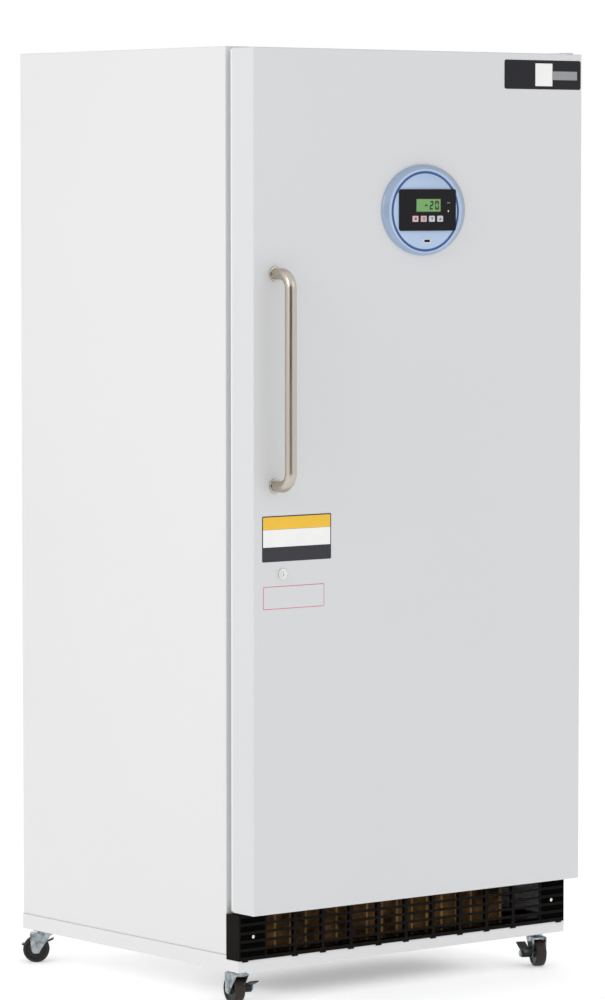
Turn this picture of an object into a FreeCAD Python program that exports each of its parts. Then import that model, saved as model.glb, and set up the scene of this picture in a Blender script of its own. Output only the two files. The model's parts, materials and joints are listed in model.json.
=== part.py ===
"""Upright laboratory freezer on four swivel casters, in millimetres.

X runs to the right, Y from the door to the back and Z up. The model is laid out with
the cabinet's front plane at y = 0 and the floor at z = 0, and moved at the end so that
the origin is at the centre of the footprint of the whole freezer, on the floor.
"""
import FreeCAD, Part
import math
import os

V = FreeCAD.Vector

# Overall sizes
cabinet_width = 928.0
cabinet_depth = 755.0
overall_height = 2057.0
underside_height = 78.0

# Sheet metal and insulated walls
skin = 1.5
front_flange = 28.0
side_wall = 62.0
top_wall = 75.0
back_wall = 70.0
floor_wall = 60.0
liner_sheet = 1.5
machine_bay_ceiling = 210.0
machine_bay_step = 120.0
machine_bay_step_depth = 300.0
front_sill_bottom = 200.0
front_sill_height = 42.0
breaker_thickness = 6.0

# Base tray and plinth
base_sheet = 2.0
base_floor_sheet = 3.0
base_band_height = 34.0
plinth_reach = 45.0
plinth_lip_height = 25.0
base_air_opening = (560.0, 200.0)
base_air_opening_front = 60.0

# Grille
grille_top_gap = 5.0
grille_wall = 3.0
grille_proud = 2.0
grille_end_section = 74.0
grille_columns = 10
grille_rows = 5
grille_slot_height = 12.0
grille_blade_height = 6.2
grille_first_slot = 8.0
grille_bar_width = 9.0
grille_blade_depth = 9.0
grille_blade_drop = 5.0
grille_tab_width = 16.0
grille_tab_drop = 3.0
grille_screw_radius = 4.5
grille_screw_inset = 38.0
grille_screw_row = 2
grille_groove = 1.5

# Door
door_bottom = 206.0
door_top_gap = 4.0
door_thickness = 72.0
door_edge_radius = 2.5
door_liner_flange = 8.0
gasket_thickness = 16.0
gasket_width = 24.0
gasket_inset = 16.0
gasket_clearance = 0.3
door_plug_depth = 12.0
door_plug_clearance = 26.0
door_plug_draft = 6.0
dike_width = 60.0
dike_depth = 10.0

# Hinges
hinge_inset = 14.0
hinge_setback = 36.0
hinge_pin_radius = 5.0
hinge_pin_length = 18.0
hinge_plate = 3.0
hinge_plate_width = 26.0
hinge_side_gap = 1.0
hinge_end_gap = 1.0
hinge_leaf_gap = 2.0
hinge_clearance = 0.06
hinge_bush_radius = 9.0
hinge_bush_length = 20.0

# Handle and lock
handle_inset = 58.0
handle_top = 1575.0
handle_bottom = 1124.0
handle_tube_radius = 12.5
handle_stand_off = 55.0
handle_bend_radius = 32.0
handle_collar_radius = 16.0
handle_collar_length = 4.0
lock_inset = 78.0
lock_height = 935.0
lock_bezel_radius = 11.5
lock_bezel_proud = 4.0
lock_barrel_radius = 9.5
lock_plug_radius = 6.5
lock_length = 28.0
lock_clearance = 0.06
lock_cam_length = 24.0
lock_cam_width = 10.0
lock_cam_thickness = 2.5
lock_key_slot = (7.0, 1.6, 3.0)
lock_pocket_margin = 4.0

# Control panel on the door
panel_offset = 3.0
panel_drop = 344.0
bezel_base = (235.0, 197.0)
bezel_front = (219.0, 185.0)
bezel_height = 14.0
controller_size = (158.0, 90.0)
controller_corner = 5.0
controller_proud = 4.0
controller_wall = 3.0
display_size = (68.0, 27.0)
display_offset = (1.0, 10.0)
display_depth = 2.0
button_count = 4
button_size = (16.0, 13.0)
button_pitch = 23.2
button_row_offset = (-1.5, -19.0)
button_proud = 1.6
button_flange = 1.4
button_flange_lip = 1.5
button_clearance = 0.3
button_travel = 1.2
port_size = (20.0, 10.0)
port_offset = (0.0, -67.0)
port_proud = 2.0
port_wall = 2.0
port_depth = 7.0

# Casters
wheel_radius = 30.0
wheel_width = 24.0
wheel_hub_radius = 10.0
wheel_hub_proud = 0.8
wheel_side_gap = 1.5
axle_radius = 4.0
axle_clearance = 0.06
axle_head_radius = 7.0
axle_head_length = 4.0
caster_trail = 20.0
fork_plate = 3.0
fork_leg_width = 22.0
fork_crown_gap = 5.0
fork_crown_top = 71.6
fork_crown_front = 16.0
fork_boss_radius = 17.0
fork_boss_bottom = 62.0
mount_cap_size = 46.0
mount_cap_thickness = 6.0
mount_cap_corner = 8.0
kingpin_radius = 6.0
kingpin_clearance = 0.06
kingpin_head_radius = 9.0
kingpin_head_thickness = 2.2
kingpin_head_gap = 0.3
lever_gap = 0.5
lever_width = 22.0
lever_sheet = 3.0
lever_hub_radius = 8.5
lever_up_wing = (38.0, 18.0)
lever_down_wing = (34.0, 5.0)
caster_side_inset = 40.0
caster_front_inset = 7.0
caster_back_inset = 27.0
caster_headings = {"front_left": 82.0, "front_right": -112.0, "back_left": 141.5, "back_right": 75.0}

# Refrigeration parts
condenser_front = 14.0
condenser_depth = 44.0
condenser_ends = (-362.0, 330.0)
condenser_bottom_gap = 4.0
condenser_height = 104.0
condenser_end_plate = 2.0
condenser_fin_groups = 16
condenser_fin = 6.0
condenser_groove = 5.0
condenser_tube_radius = 4.8
condenser_tube_overhang = 6.0
condenser_rows = 4
condenser_row_pitch = 24.0
shroud_sheet = 1.5
shroud_gap = 6.0
fan_centre_x = -60.0
fan_radius = 42.0
fan_hub_radius = 13.0
fan_hub_length = 16.0
fan_tip_clearance = 2.5
fan_blades = 5
fan_blade_thickness = 1.4
fan_blade_pitch = 32.0
fan_shaft_radius = 3.0
fan_shaft_clearance = 0.05
fan_setback = 9.0
fan_motor_radius = 24.0
fan_motor_length = 34.0
fan_strut_width = 8.0
compressor_x = 190.0
compressor_rear_gap = 61.5
compressor_radius = 78.0
compressor_shoulder = 20.0
compressor_height = 158.0
compressor_belt = 4.0
compressor_foot = (210.0, 120.0, 3.0)
compressor_foot_corner = 14.0
terminal_box = (48.0, 52.0, 58.0)
terminal_height = 34.0
terminal_seat = 14.0
grommet_radius = 13.0
grommet_height = 14.0
grommet_inset = 18.0
pipe_radius = 4.0
pipe_height = 62.0
pipe_side_reach = 42.0
pipe_run_behind_fan = 250.0
rear_cover_slots = 9
rear_cover_slot = (70.0, 6.0)
rear_cover_slot_pitch = 14.0
gland_place = (-390.0, 150.0)
gland_radius = 13.0
gland_bore_radius = 5.0
gland_length = 22.0
gland_nut_length = 7.0
probe_place = (-330.0, 1720.0)
probe_radius = 12.7
probe_sleeve_wall = 2.5
probe_flange_radius = 24.0
probe_flange = 2.5
evaporator_size = (620.0, 150.0, 190.0)
evaporator_sheet = 2.0
evaporator_fan_radius = 62.0
evaporator_slot = (180.0, 12.0)

# Shelving
shelf_count = 4
first_shelf_height = 580.0
shelf_pitch = 290.0
shelf_side_gap = 9.0
shelf_front_gap = 30.0
shelf_back_gap = 34.0
shelf_rim = 7.0
shelf_corner = 14.0
shelf_wire = 3.0
shelf_wire_pitch = 52.0
pilaster_width = 16.0
pilaster_floor_gap = 40.0
pilaster_top_gap = 10.0
pilaster_depth = 5.0
pilaster_sheet = 1.5
pilaster_places = (90.0, 560.0)
shelf_clip = (7.0, 14.0, 8.0)

# Places worked out from the sizes above
half_width = cabinet_width / 2
tray_floor = underside_height + base_floor_sheet
base_top = underside_height + base_band_height
plinth_top = underside_height + plinth_lip_height
door_front = -(door_thickness + door_liner_flange + gasket_thickness)
door_back = door_front + door_thickness
door_flange_back = door_back + door_liner_flange
door_top = overall_height - door_top_gap
cabin_half_width = half_width - side_wall
cabin_floor = machine_bay_ceiling + floor_wall
cabin_top = overall_height - top_wall
cabin_back = cabinet_depth - back_wall
front_sill_top = front_sill_bottom + front_sill_height
bay_step_y = cabinet_depth - machine_bay_step_depth
bay_rear_ceiling = machine_bay_ceiling + machine_bay_step
cabin_step_y = bay_step_y - floor_wall
cabin_step_top = cabin_floor + machine_bay_step
hinge_x = half_width - hinge_inset
hinge_y = door_front + hinge_setback
handle_x = -half_width + handle_inset
lock_x = -half_width + lock_inset
grille_top = door_bottom - grille_top_gap
compressor_y = cabinet_depth - skin - compressor_rear_gap - compressor_belt - compressor_radius
grille_front = -plinth_reach - grille_proud
panel_x, panel_z = panel_offset, door_top - panel_drop
bezel_face = door_front - bezel_height
controller_face = bezel_face - controller_proud


def box(x0, x1, y0, y1, z0, z1):
    """A block between two corners."""
    return Part.makeBox(x1 - x0, y1 - y0, z1 - z0, V(x0, y0, z0))


def rod(radius, start, end):
    """A round bar from one point to another."""
    start, end = V(*start), V(*end)
    return Part.makeCylinder(radius, (end - start).Length, start, end - start)


def along_x(points, x0, x1):
    """A block whose outline lies in the YZ plane, from x0 to x1."""
    corners = [V(x0, y, z) for y, z in points]
    return Part.Face(Part.makePolygon(corners + corners[:1])).extrude(V(x1 - x0, 0, 0))


def along_y(points, y0, y1):
    """A block whose outline lies in the XZ plane, from y0 to y1."""
    corners = [V(x, y0, z) for x, z in points]
    return Part.Face(Part.makePolygon(corners + corners[:1])).extrude(V(0, y1 - y0, 0))


def rounded(shape, radius, wanted):
    """Fillets the straight edges whose middle point passes the test."""
    edges = [e for e in shape.Edges if wanted(e.CenterOfMass, e)]
    return shape.makeFillet(radius, edges) if edges else shape


def upright(edge):
    """True for an edge that runs along Z."""
    box_of_edge = edge.BoundBox
    return box_of_edge.XLength < 1e-6 and box_of_edge.YLength < 1e-6


def deep(edge):
    """True for an edge that runs along Y."""
    box_of_edge = edge.BoundBox
    return box_of_edge.XLength < 1e-6 and box_of_edge.ZLength < 1e-6


def rounded_plate(width, height, corner, y0, y1, x=0.0, z=0.0):
    """An upright plate with round corners, centred on (x, z)."""
    plate = box(x - width / 2, x + width / 2, y0, y1, z - height / 2, z + height / 2)
    return rounded(plate, corner, lambda c, e: deep(e))


def ring_frame(outer, inner, y0, y1):
    """An upright frame between two rectangles, each given as x0, x1, z0, z1."""
    return box(outer[0], outer[1], y0, y1, outer[2], outer[3]).cut(
        box(inner[0], inner[1], y0 - 1, y1 + 1, inner[2], inner[3]))


def joined(shapes):
    """One solid from several that touch or overlap."""
    first, *rest = shapes
    return first.fuse(rest).removeSplitter()


def pipe(points, radius, bend):
    """A round bar along straight runs joined by arcs of one radius."""
    stops = [V(*p) for p in points]
    edges = []
    start = stops[0]
    for before, corner, after in zip(stops, stops[1:], stops[2:]):
        into = (corner - before).normalize()
        out = (after - corner).normalize()
        half_turn = into.getAngle(out) / 2
        reach = bend * math.tan(half_turn)
        first = corner - into * reach
        last = corner + out * reach
        middle = corner + (out - into).normalize() * (bend / math.cos(half_turn) - bend)
        edges.append(Part.LineSegment(start, first).toShape())
        edges.append(Part.Arc(first, middle, last).toShape())
        start = last
    edges.append(Part.LineSegment(start, stops[-1]).toShape())
    path = Part.Wire(edges)
    circle = Part.Wire(Part.makeCircle(radius, stops[0], stops[1] - stops[0]))
    return path.makePipeShell([circle], True, False)


def mitred_pipe(points, radius):
    """A thin tube in straight runs, with a ball of its own radius at each corner."""
    runs = [rod(radius, a, b) for a, b in zip(points, points[1:])]
    elbows = [Part.makeSphere(radius, V(*p)) for p in points[1:-1]]
    return joined([*runs, *elbows])


def outer_cabinet():
    """Folded steel wrap: sides, top, front flanges, sill and the bay ceiling."""
    wrap = box(-half_width, half_width, 0, cabinet_depth, tray_floor, overall_height)
    wrap = rounded(wrap, skin * 1.6, lambda c, e: abs(c.x) > half_width - 1 and (c.y < 1 or c.z > overall_height - 1))
    wrap = wrap.cut(box(-half_width + skin, half_width - skin, skin, cabinet_depth + 1,
                        tray_floor - 1, overall_height - skin))
    flange_x = half_width - front_flange
    wrap = wrap.cut(box(-flange_x, flange_x, -1, skin + 1, front_sill_top, overall_height - front_flange))
    wrap = wrap.cut(box(-flange_x, flange_x, -1, skin + 1, tray_floor - 1, front_sill_bottom))
    ceiling = along_x([(0, machine_bay_ceiling), (bay_step_y, machine_bay_ceiling),
                       (bay_step_y, bay_rear_ceiling), (cabinet_depth - skin, bay_rear_ceiling),
                       (cabinet_depth - skin, bay_rear_ceiling + skin), (bay_step_y - skin, bay_rear_ceiling + skin),
                       (bay_step_y - skin, machine_bay_ceiling + skin), (0, machine_bay_ceiling + skin)],
                      -half_width + skin, half_width - skin)
    return joined([wrap, ceiling])


def cavity(margin, front):
    """The stepped cold space, grown by a margin on every side but the front."""
    floor, step_top = cabin_floor - margin, cabin_step_top - margin
    step_y, back, top = cabin_step_y - margin, cabin_back + margin, cabin_top + margin
    return along_x([(front, floor), (step_y, floor), (step_y, step_top), (back, step_top), (back, top),
                    (front, top)], -cabin_half_width - margin, cabin_half_width + margin)


def probe_hole(radius):
    """The round way for the probe through the back wall."""
    x, z = probe_place
    return rod(radius, (x, cabin_back - liner_sheet - 1, z), (x, cabinet_depth + 1, z))


def side_insulation(side):
    """Foam slab behind one side panel, stepped up over the machine bay; side is -1 for left and 1 for right."""
    bottom, rear_bottom = machine_bay_ceiling + skin, bay_rear_ceiling + skin
    profile = [(breaker_thickness, bottom), (bay_step_y - skin, bottom), (bay_step_y - skin, rear_bottom),
               (cabinet_depth - skin, rear_bottom), (cabinet_depth - skin, overall_height - skin),
               (breaker_thickness, overall_height - skin)]
    inner, outer = side * (cabin_half_width + liner_sheet), side * (half_width - skin)
    return along_x(profile, min(inner, outer), max(inner, outer))


def floor_insulation():
    """Foam under the cold space, stepped above and below with the liner and the machine bay."""
    bottom, rear_bottom = machine_bay_ceiling + skin, bay_rear_ceiling + skin
    floor, step_top = cabin_floor - liner_sheet, cabin_step_top - liner_sheet
    step_y, back = cabin_step_y - liner_sheet, cabinet_depth - skin
    profile = [(breaker_thickness, bottom), (bay_step_y - skin, bottom), (bay_step_y - skin, rear_bottom),
               (back, rear_bottom), (back, step_top), (step_y, step_top), (step_y, floor),
               (breaker_thickness, floor)]
    reach = cabin_half_width + liner_sheet
    return along_x(profile, -reach, reach)


def back_insulation():
    """Foam slab behind the liner's back, with the way for the probe."""
    reach = cabin_half_width + liner_sheet
    slab = box(-reach, reach, cabin_back + liner_sheet, cabinet_depth - skin, cabin_step_top - liner_sheet,
               cabin_top + liner_sheet)
    return slab.cut(probe_hole(probe_radius + probe_sleeve_wall))


def top_insulation():
    """Foam slab over the liner, from front to back."""
    reach = cabin_half_width + liner_sheet
    return box(-reach, reach, breaker_thickness, cabinet_depth - skin, cabin_top + liner_sheet,
               overall_height - skin)


def inner_liner():
    """Thin stepped liner, open at the front."""
    liner = cavity(liner_sheet, 0).cut(cavity(0, -1))
    return liner.cut(probe_hole(probe_radius + probe_sleeve_wall))


def breaker_frame():
    """Plastic strip that closes the front of the insulated wall."""
    flange_x = half_width - front_flange
    outer = (-flange_x, flange_x, front_sill_top, overall_height - front_flange)
    inner = (-cabin_half_width - liner_sheet, cabin_half_width + liner_sheet, cabin_floor - liner_sheet,
             cabin_top + liner_sheet)
    return ring_frame(outer, inner, 0, breaker_thickness)


def back_panel():
    """Galvanised sheet behind the insulated box."""
    panel = box(-half_width + skin, half_width - skin, cabinet_depth - skin, cabinet_depth,
                bay_rear_ceiling + skin, overall_height - skin)
    return panel.cut(probe_hole(probe_radius + probe_sleeve_wall))


def rear_cover():
    """Slotted cover over the machine bay at the back."""
    cover = box(-half_width + skin, half_width - skin, cabinet_depth - skin, cabinet_depth, tray_floor,
                bay_rear_ceiling + skin)
    width, height = rear_cover_slot
    columns = int((cabinet_width - 4 * side_wall) // (1.6 * width))
    for column in range(columns):
        x = (column - (columns - 1) / 2) * 1.6 * width
        for row in range(rear_cover_slots):
            z = bay_rear_ceiling - 2 * rear_cover_slot_pitch - row * rear_cover_slot_pitch
            cover = cover.cut(box(x - width / 2, x + width / 2, cabinet_depth - skin - 1, cabinet_depth + 1,
                                  z - height / 2, z + height / 2))
    x, z = gland_place
    return cover.cut(rod(gland_radius - 3, (x, cabinet_depth - skin - 1, z), (x, cabinet_depth + 1, z)))


def caster_spots():
    """Swivel axis of each caster on the floor plan."""
    left, right = -half_width + caster_side_inset, half_width - caster_side_inset
    front, back = caster_front_inset, cabinet_depth - caster_back_inset
    return {"front_left": (left, front), "front_right": (right, front),
            "back_left": (left, back), "back_right": (right, back)}


def base_frame():
    """Folded steel tray that carries the cabinet, with the plinth lip in front."""
    outside = half_width + base_sheet
    front, back = -plinth_reach, cabinet_depth + base_sheet
    tray = box(-outside, outside, front, back, underside_height, base_top)
    tray = rounded(tray, base_sheet * 1.2, lambda c, e: upright(e))
    tray = tray.cut(box(-half_width, half_width, front + base_sheet, cabinet_depth, tray_floor, base_top + 1))
    tray = tray.cut(box(-outside - 1, outside + 1, front - 1, -base_sheet, plinth_top, base_top + 1))
    width, depth = base_air_opening
    tray = tray.cut(box(-width / 2, width / 2, base_air_opening_front, base_air_opening_front + depth,
                        underside_height - 1, tray_floor + 1))
    return tray


def louvre_blade(z):
    """One sloping blade across the whole grille, with its front edge at height z."""
    half = grille_blade_height / 2
    back = grille_front + grille_blade_depth
    outline = [(grille_front, z - half), (grille_front, z + half), (back, z + half - grille_blade_drop),
               (back, z - half - grille_blade_drop + grille_wall)]
    return along_x(outline, -half_width + grille_wall, half_width - grille_wall)


def grille():
    """Moulded louvre between the door and the plinth, wrapped round both ends."""
    shell = box(-half_width, half_width, grille_front, 0, plinth_top, grille_top)
    shell = rounded(shell, 2.0, lambda c, e: c.y < grille_front + 1 and (upright(e) or c.z > grille_top - 1))
    shell = shell.cut(box(-half_width + grille_wall, half_width - grille_wall, grille_front + grille_wall,
                          1, plinth_top + grille_wall, grille_top - grille_wall))
    pitch = grille_slot_height + grille_blade_height
    open_half = half_width - grille_end_section
    column_pitch = 2 * open_half / grille_columns
    lowest = plinth_top + grille_first_slot
    highest = lowest + grille_rows * pitch - grille_blade_height
    parts = [shell.cut(box(-open_half, open_half, grille_front - 1, grille_front + grille_wall + 1,
                           lowest, highest))]
    for row in range(1, grille_rows):
        parts.append(louvre_blade(lowest + row * pitch - grille_blade_height / 2))
    bars = [-open_half + column * column_pitch for column in range(1, grille_columns)]
    for x in bars:
        parts.append(box(x - grille_bar_width / 2, x + grille_bar_width / 2, grille_front,
                         grille_front + grille_blade_depth, lowest, highest))
    moulding = joined(parts)
    for row in range(grille_rows):
        z = lowest + row * pitch
        for side in (-1, 1):
            inner, outer = sorted((side * (open_half + grille_bar_width / 2), side * (half_width - grille_wall)))
            groove = box(inner, outer, grille_front - 1, grille_front + grille_groove, z, z + grille_slot_height)
            moulding = moulding.cut(groove)
    for x in bars + [-half_width + grille_tab_width, half_width - grille_tab_width]:
        tab = box(x - grille_tab_width / 2, x + grille_tab_width / 2, grille_front, -plinth_reach,
                  plinth_top - grille_tab_drop, plinth_top + grille_wall)
        moulding = moulding.fuse(tab)
    return moulding.removeSplitter()


def grille_screws():
    """Domed screws in the closed end sections of the grille."""
    pitch = grille_slot_height + grille_blade_height
    z = plinth_top + grille_first_slot + grille_screw_row * pitch + grille_slot_height / 2
    seat = grille_front + grille_groove
    screws = []
    for x in (-half_width + grille_screw_inset, half_width - grille_screw_inset):
        ball = Part.makeSphere(grille_screw_radius, V(x, seat + grille_screw_radius / 2, z))
        reach = grille_screw_radius
        screws.append(ball.common(box(x - reach, x + reach, seat - reach, seat, z - reach, z + reach)))
    return Part.makeCompound(screws)


def hinge_bracket(plate_low, leaf_low, leaf_high, pin_end):
    """Angle bracket: a leaf on the cabinet's front, an arm across the door's end and a pin into it."""
    side = half_width - hinge_side_gap
    arm = box(side - hinge_plate_width, side, hinge_y - hinge_plate_width / 2, 0, plate_low,
              plate_low + hinge_plate)
    arm = rounded(arm, hinge_plate_width / 3, lambda c, e: upright(e) and c.y < hinge_y)
    leaf = box(side - hinge_plate_width, side, -hinge_plate, 0, leaf_low, leaf_high)
    pin = rod(hinge_pin_radius, (hinge_x, hinge_y, plate_low + hinge_plate / 2), (hinge_x, hinge_y, pin_end))
    return joined([arm, leaf, pin])


def hinge_brackets():
    """Lower bracket under the door and upper bracket over it."""
    low_plate = door_bottom - hinge_end_gap - hinge_plate
    high_plate = door_top + hinge_end_gap
    lower = hinge_bracket(low_plate, low_plate, door_bottom + gasket_inset - hinge_leaf_gap,
                          door_bottom + hinge_pin_length)
    upper = hinge_bracket(high_plate, door_top - gasket_inset + hinge_leaf_gap, high_plate + hinge_plate,
                          door_top - hinge_pin_length)
    return Part.makeCompound([lower, upper])


def probe_sleeve():
    """Plastic sleeve through the back wall for a temperature probe."""
    x, z = probe_place
    inside, outside = cabin_back - liner_sheet, cabinet_depth
    outer = probe_radius + probe_sleeve_wall
    tube = rod(outer, (x, inside, z), (x, outside, z))
    collar = rod(probe_flange_radius, (x, outside, z), (x, outside + probe_flange, z))
    sleeve = joined([tube, collar])
    return sleeve.cut(rod(probe_radius, (x, inside - 1, z), (x, outside + probe_flange + 1, z)))


def cord_gland():
    """Strain relief bush for the supply lead in the rear cover."""
    x, z = gland_place
    outside = cabinet_depth
    body = rod(gland_radius - 3, (x, outside - skin - 6, z), (x, outside, z))
    corners = [(x + gland_radius * math.cos(math.radians(60 * turn)),
                z + gland_radius * math.sin(math.radians(60 * turn))) for turn in range(6)]
    flange = along_y(corners, outside, outside + gland_nut_length)
    nose = rod(gland_radius - 4, (x, outside + gland_nut_length, z), (x, outside + gland_length, z))
    return joined([body, flange, nose]).cut(rod(gland_bore_radius, (x, outside - skin - 7, z),
                                                (x, outside + gland_length + 1, z)))


def condenser_levels():
    """Height of each row of condenser tube."""
    middle = tray_floor + condenser_bottom_gap + condenser_height / 2
    return [middle + (row - (condenser_rows - 1) / 2) * condenser_row_pitch for row in range(condenser_rows)]


def condenser_coil():
    """Serpentine tube through the fin pack, back and forth from row to row."""
    y = condenser_front + condenser_depth / 2
    left, right = condenser_ends
    left, right = left - condenser_tube_overhang, right + condenser_tube_overhang
    places = []
    for index, z in enumerate(condenser_levels()):
        ends = [(left, y, z), (right, y, z)]
        places += ends if index % 2 == 0 else ends[::-1]
    return mitred_pipe(places, condenser_tube_radius)


def condenser_fins():
    """Fin pack with end plates: a block on the tubes, grooved between the fins front and back."""
    left, right = condenser_ends
    low = tray_floor + condenser_bottom_gap
    high = low + condenser_height
    front, back = condenser_front, condenser_front + condenser_depth
    pack = box(left, right, front, back, low, high)
    pitch = (right - left - 2 * condenser_end_plate) / condenser_fin_groups
    for index in range(condenser_fin_groups):
        x = left + condenser_end_plate + pitch * index
        for y0, y1 in ((front - 1, front + condenser_groove), (back - condenser_groove, back + 1)):
            pack = pack.cut(box(x, x + pitch - condenser_fin, y0, y1, low - 1, high + 1))
    for x in (left, right - condenser_end_plate):
        pack = pack.fuse(box(x, x + condenser_end_plate, front, back, tray_floor, low))
    y = condenser_front + condenser_depth / 2
    for z in condenser_levels():
        pack = pack.cut(rod(condenser_tube_radius, (left - 5, y, z), (right + 5, y, z)))
    return pack.removeSplitter()


def fan_axis():
    """Point on the condenser fan's axis at the shroud's back face, and the fan's mid height."""
    y = condenser_front + condenser_depth + shroud_gap + shroud_sheet
    return fan_centre_x, y, tray_floor + condenser_bottom_gap + condenser_height / 2


def fan_shroud():
    """Sheet behind the condenser with a round opening, a bell mouth and a motor bridge."""
    x, y, z = fan_axis()
    left, right = condenser_ends
    low = tray_floor
    sheet = box(left, right, y - shroud_sheet, y, low, low + condenser_bottom_gap + condenser_height)
    side = condenser_front + condenser_depth
    wings = [box(left, left + shroud_sheet, side, y, low, low + condenser_bottom_gap + condenser_height),
             box(right - shroud_sheet, right, side, y, low, low + condenser_bottom_gap + condenser_height)]
    opening = fan_radius + fan_tip_clearance
    mouth_end = y + fan_hub_length
    mouth = rod(opening + shroud_sheet, (x, y - shroud_sheet, z), (x, mouth_end, z))
    motor_front = y + fan_hub_length + fan_setback
    motor_end = motor_front + fan_motor_length
    half = fan_strut_width / 2
    bridge = box(x - half, x + half, motor_end, motor_end + shroud_sheet * 2, low, z + fan_motor_radius)
    foot = box(x - half, x + half, y - shroud_sheet, motor_end + shroud_sheet * 2, low, low + shroud_sheet * 2)
    return joined([sheet, *wings, mouth, bridge, foot]).cut(rod(opening, (x, y - 20, z), (x, mouth_end + 1, z)))


def blade(angle, hub, tip, pitch, thickness, centre):
    """One flat fan blade, tilted by the pitch and narrowing to its tip, turned about the Y axis."""
    inner, outer = hub * 0.8, hub * 0.42 + tip * 0.2
    outline = [V(-inner * 0.7, 0, inner), V(inner * 0.7, 0, inner), V(outer, 0, tip * 0.9), V(outer * 0.5, 0, tip * 0.98),
               V(-outer, 0, tip * 0.98)]
    solid = Part.Face(Part.makePolygon(outline + outline[:1])).extrude(V(0, thickness, 0))
    solid.translate(V(0, -thickness / 2, 0))
    solid.rotate(V(0, 0, 0), V(0, 0, 1), pitch)
    solid.rotate(V(0, 0, 0), V(0, 1, 0), angle)
    solid.translate(V(*centre))
    return solid


def fan(centre, radius, hub_radius, hub_length, blades, pitch, shaft_bore):
    """Fan with a hub from y to y + hub_length about the point given."""
    x, y, z = centre
    middle = (x, y + hub_length / 2, z)
    hub = rod(hub_radius, (x, y, z), (x, y + hub_length, z))
    vanes = [blade(360.0 / blades * index, hub_radius, radius, pitch, fan_blade_thickness, middle)
             for index in range(blades)]
    wheel = joined([hub, *vanes])
    return wheel.cut(rod(shaft_bore, (x, y + 2, z), (x, y + hub_length + 1, z)))


def condenser_fan():
    """Fan that draws air through the condenser."""
    return fan(fan_axis(), fan_radius, fan_hub_radius, fan_hub_length, fan_blades, fan_blade_pitch,
               fan_shaft_radius + fan_shaft_clearance)


def fan_motor():
    """Motor behind the fan, held by the shroud's bridge."""
    x, y, z = fan_axis()
    front = y + fan_hub_length + fan_setback
    can = rod(fan_motor_radius, (x, front, z), (x, front + fan_motor_length, z))
    shaft = rod(fan_shaft_radius, (x, y + 4, z), (x, front, z))
    collar = rod(fan_shaft_radius + 2, (x, y + fan_hub_length + 0.3, z), (x, front, z))
    return joined([can, shaft, collar])


def compressor_body():
    """Welded round shell of the compressor with its belt, feet and terminal box."""
    x, y = compressor_x, compressor_y
    bottom = tray_floor + grommet_height + compressor_foot[2]
    radius, low = compressor_radius, bottom
    high = low + compressor_height
    seam = low + compressor_height * 0.5
    shoulder = compressor_shoulder
    outline = [V(0, 0, low), V(radius, 0, low), V(radius, 0, seam),
               V(radius + compressor_belt, 0, seam), V(radius + compressor_belt, 0, seam + compressor_belt),
               V(radius, 0, seam + compressor_belt), V(radius, 0, high - shoulder),
               V(radius - shoulder * 1.4, 0, high), V(0, 0, high)]
    shell = Part.Face(Part.makePolygon(outline + outline[:1])).revolve(V(0, 0, 0), V(0, 0, 1), 360)
    shell.translate(V(x, y, 0))
    length, width, thickness = compressor_foot
    plate = box(x - length / 2, x + length / 2, y - width / 2, y + width / 2, bottom - thickness, bottom)
    plate = plate.makeChamfer(compressor_foot_corner, [e for e in plate.Edges if upright(e)])
    reach, breadth, height = terminal_box
    side = x + radius - terminal_seat
    terminal = box(side, side + reach, y - breadth / 2, y + breadth / 2, low + terminal_height,
                   low + terminal_height + height)
    return joined([shell, plate, terminal])


def grommet_places():
    """The four compressor feet on the tray."""
    x, y = compressor_x, compressor_y
    length, width, _ = compressor_foot
    return [(x + side_x * (length / 2 - grommet_inset), y + side_y * (width / 2 - grommet_inset))
            for side_x in (-1, 1) for side_y in (-1, 1)]


def compressor_mounts():
    """Rubber grommets between the tray and the compressor's foot plate."""
    return Part.makeCompound([rod(grommet_radius, (x, y, tray_floor), (x, y, tray_floor + grommet_height))
                              for x, y in grommet_places()])


def refrigerant_lines():
    """Discharge line from the compressor round the fan to the top row of the condenser."""
    cx, cy = compressor_x, compressor_y
    start = cx - compressor_radius
    low = tray_floor + pipe_height
    high = condenser_levels()[-1]
    coil_y = condenser_front + condenser_depth / 2
    behind_fan = coil_y + pipe_run_behind_fan
    end_x = condenser_ends[0] - condenser_tube_overhang
    outer_x = end_x - pipe_side_reach
    inner_x = start - pipe_side_reach
    return mitred_pipe([(start, cy, low), (inner_x, cy, low), (inner_x, behind_fan, low),
                        (outer_x, behind_fan, low), (outer_x, coil_y, low), (outer_x, coil_y, high),
                        (end_x, coil_y, high)], pipe_radius)


def evaporator_outline():
    """Left, right, front, back, bottom and top of the evaporator housing under the cabin's top."""
    width, height, depth = evaporator_size
    return -width / 2, width / 2, cabin_back - depth, cabin_back, cabin_top - height, cabin_top


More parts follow.
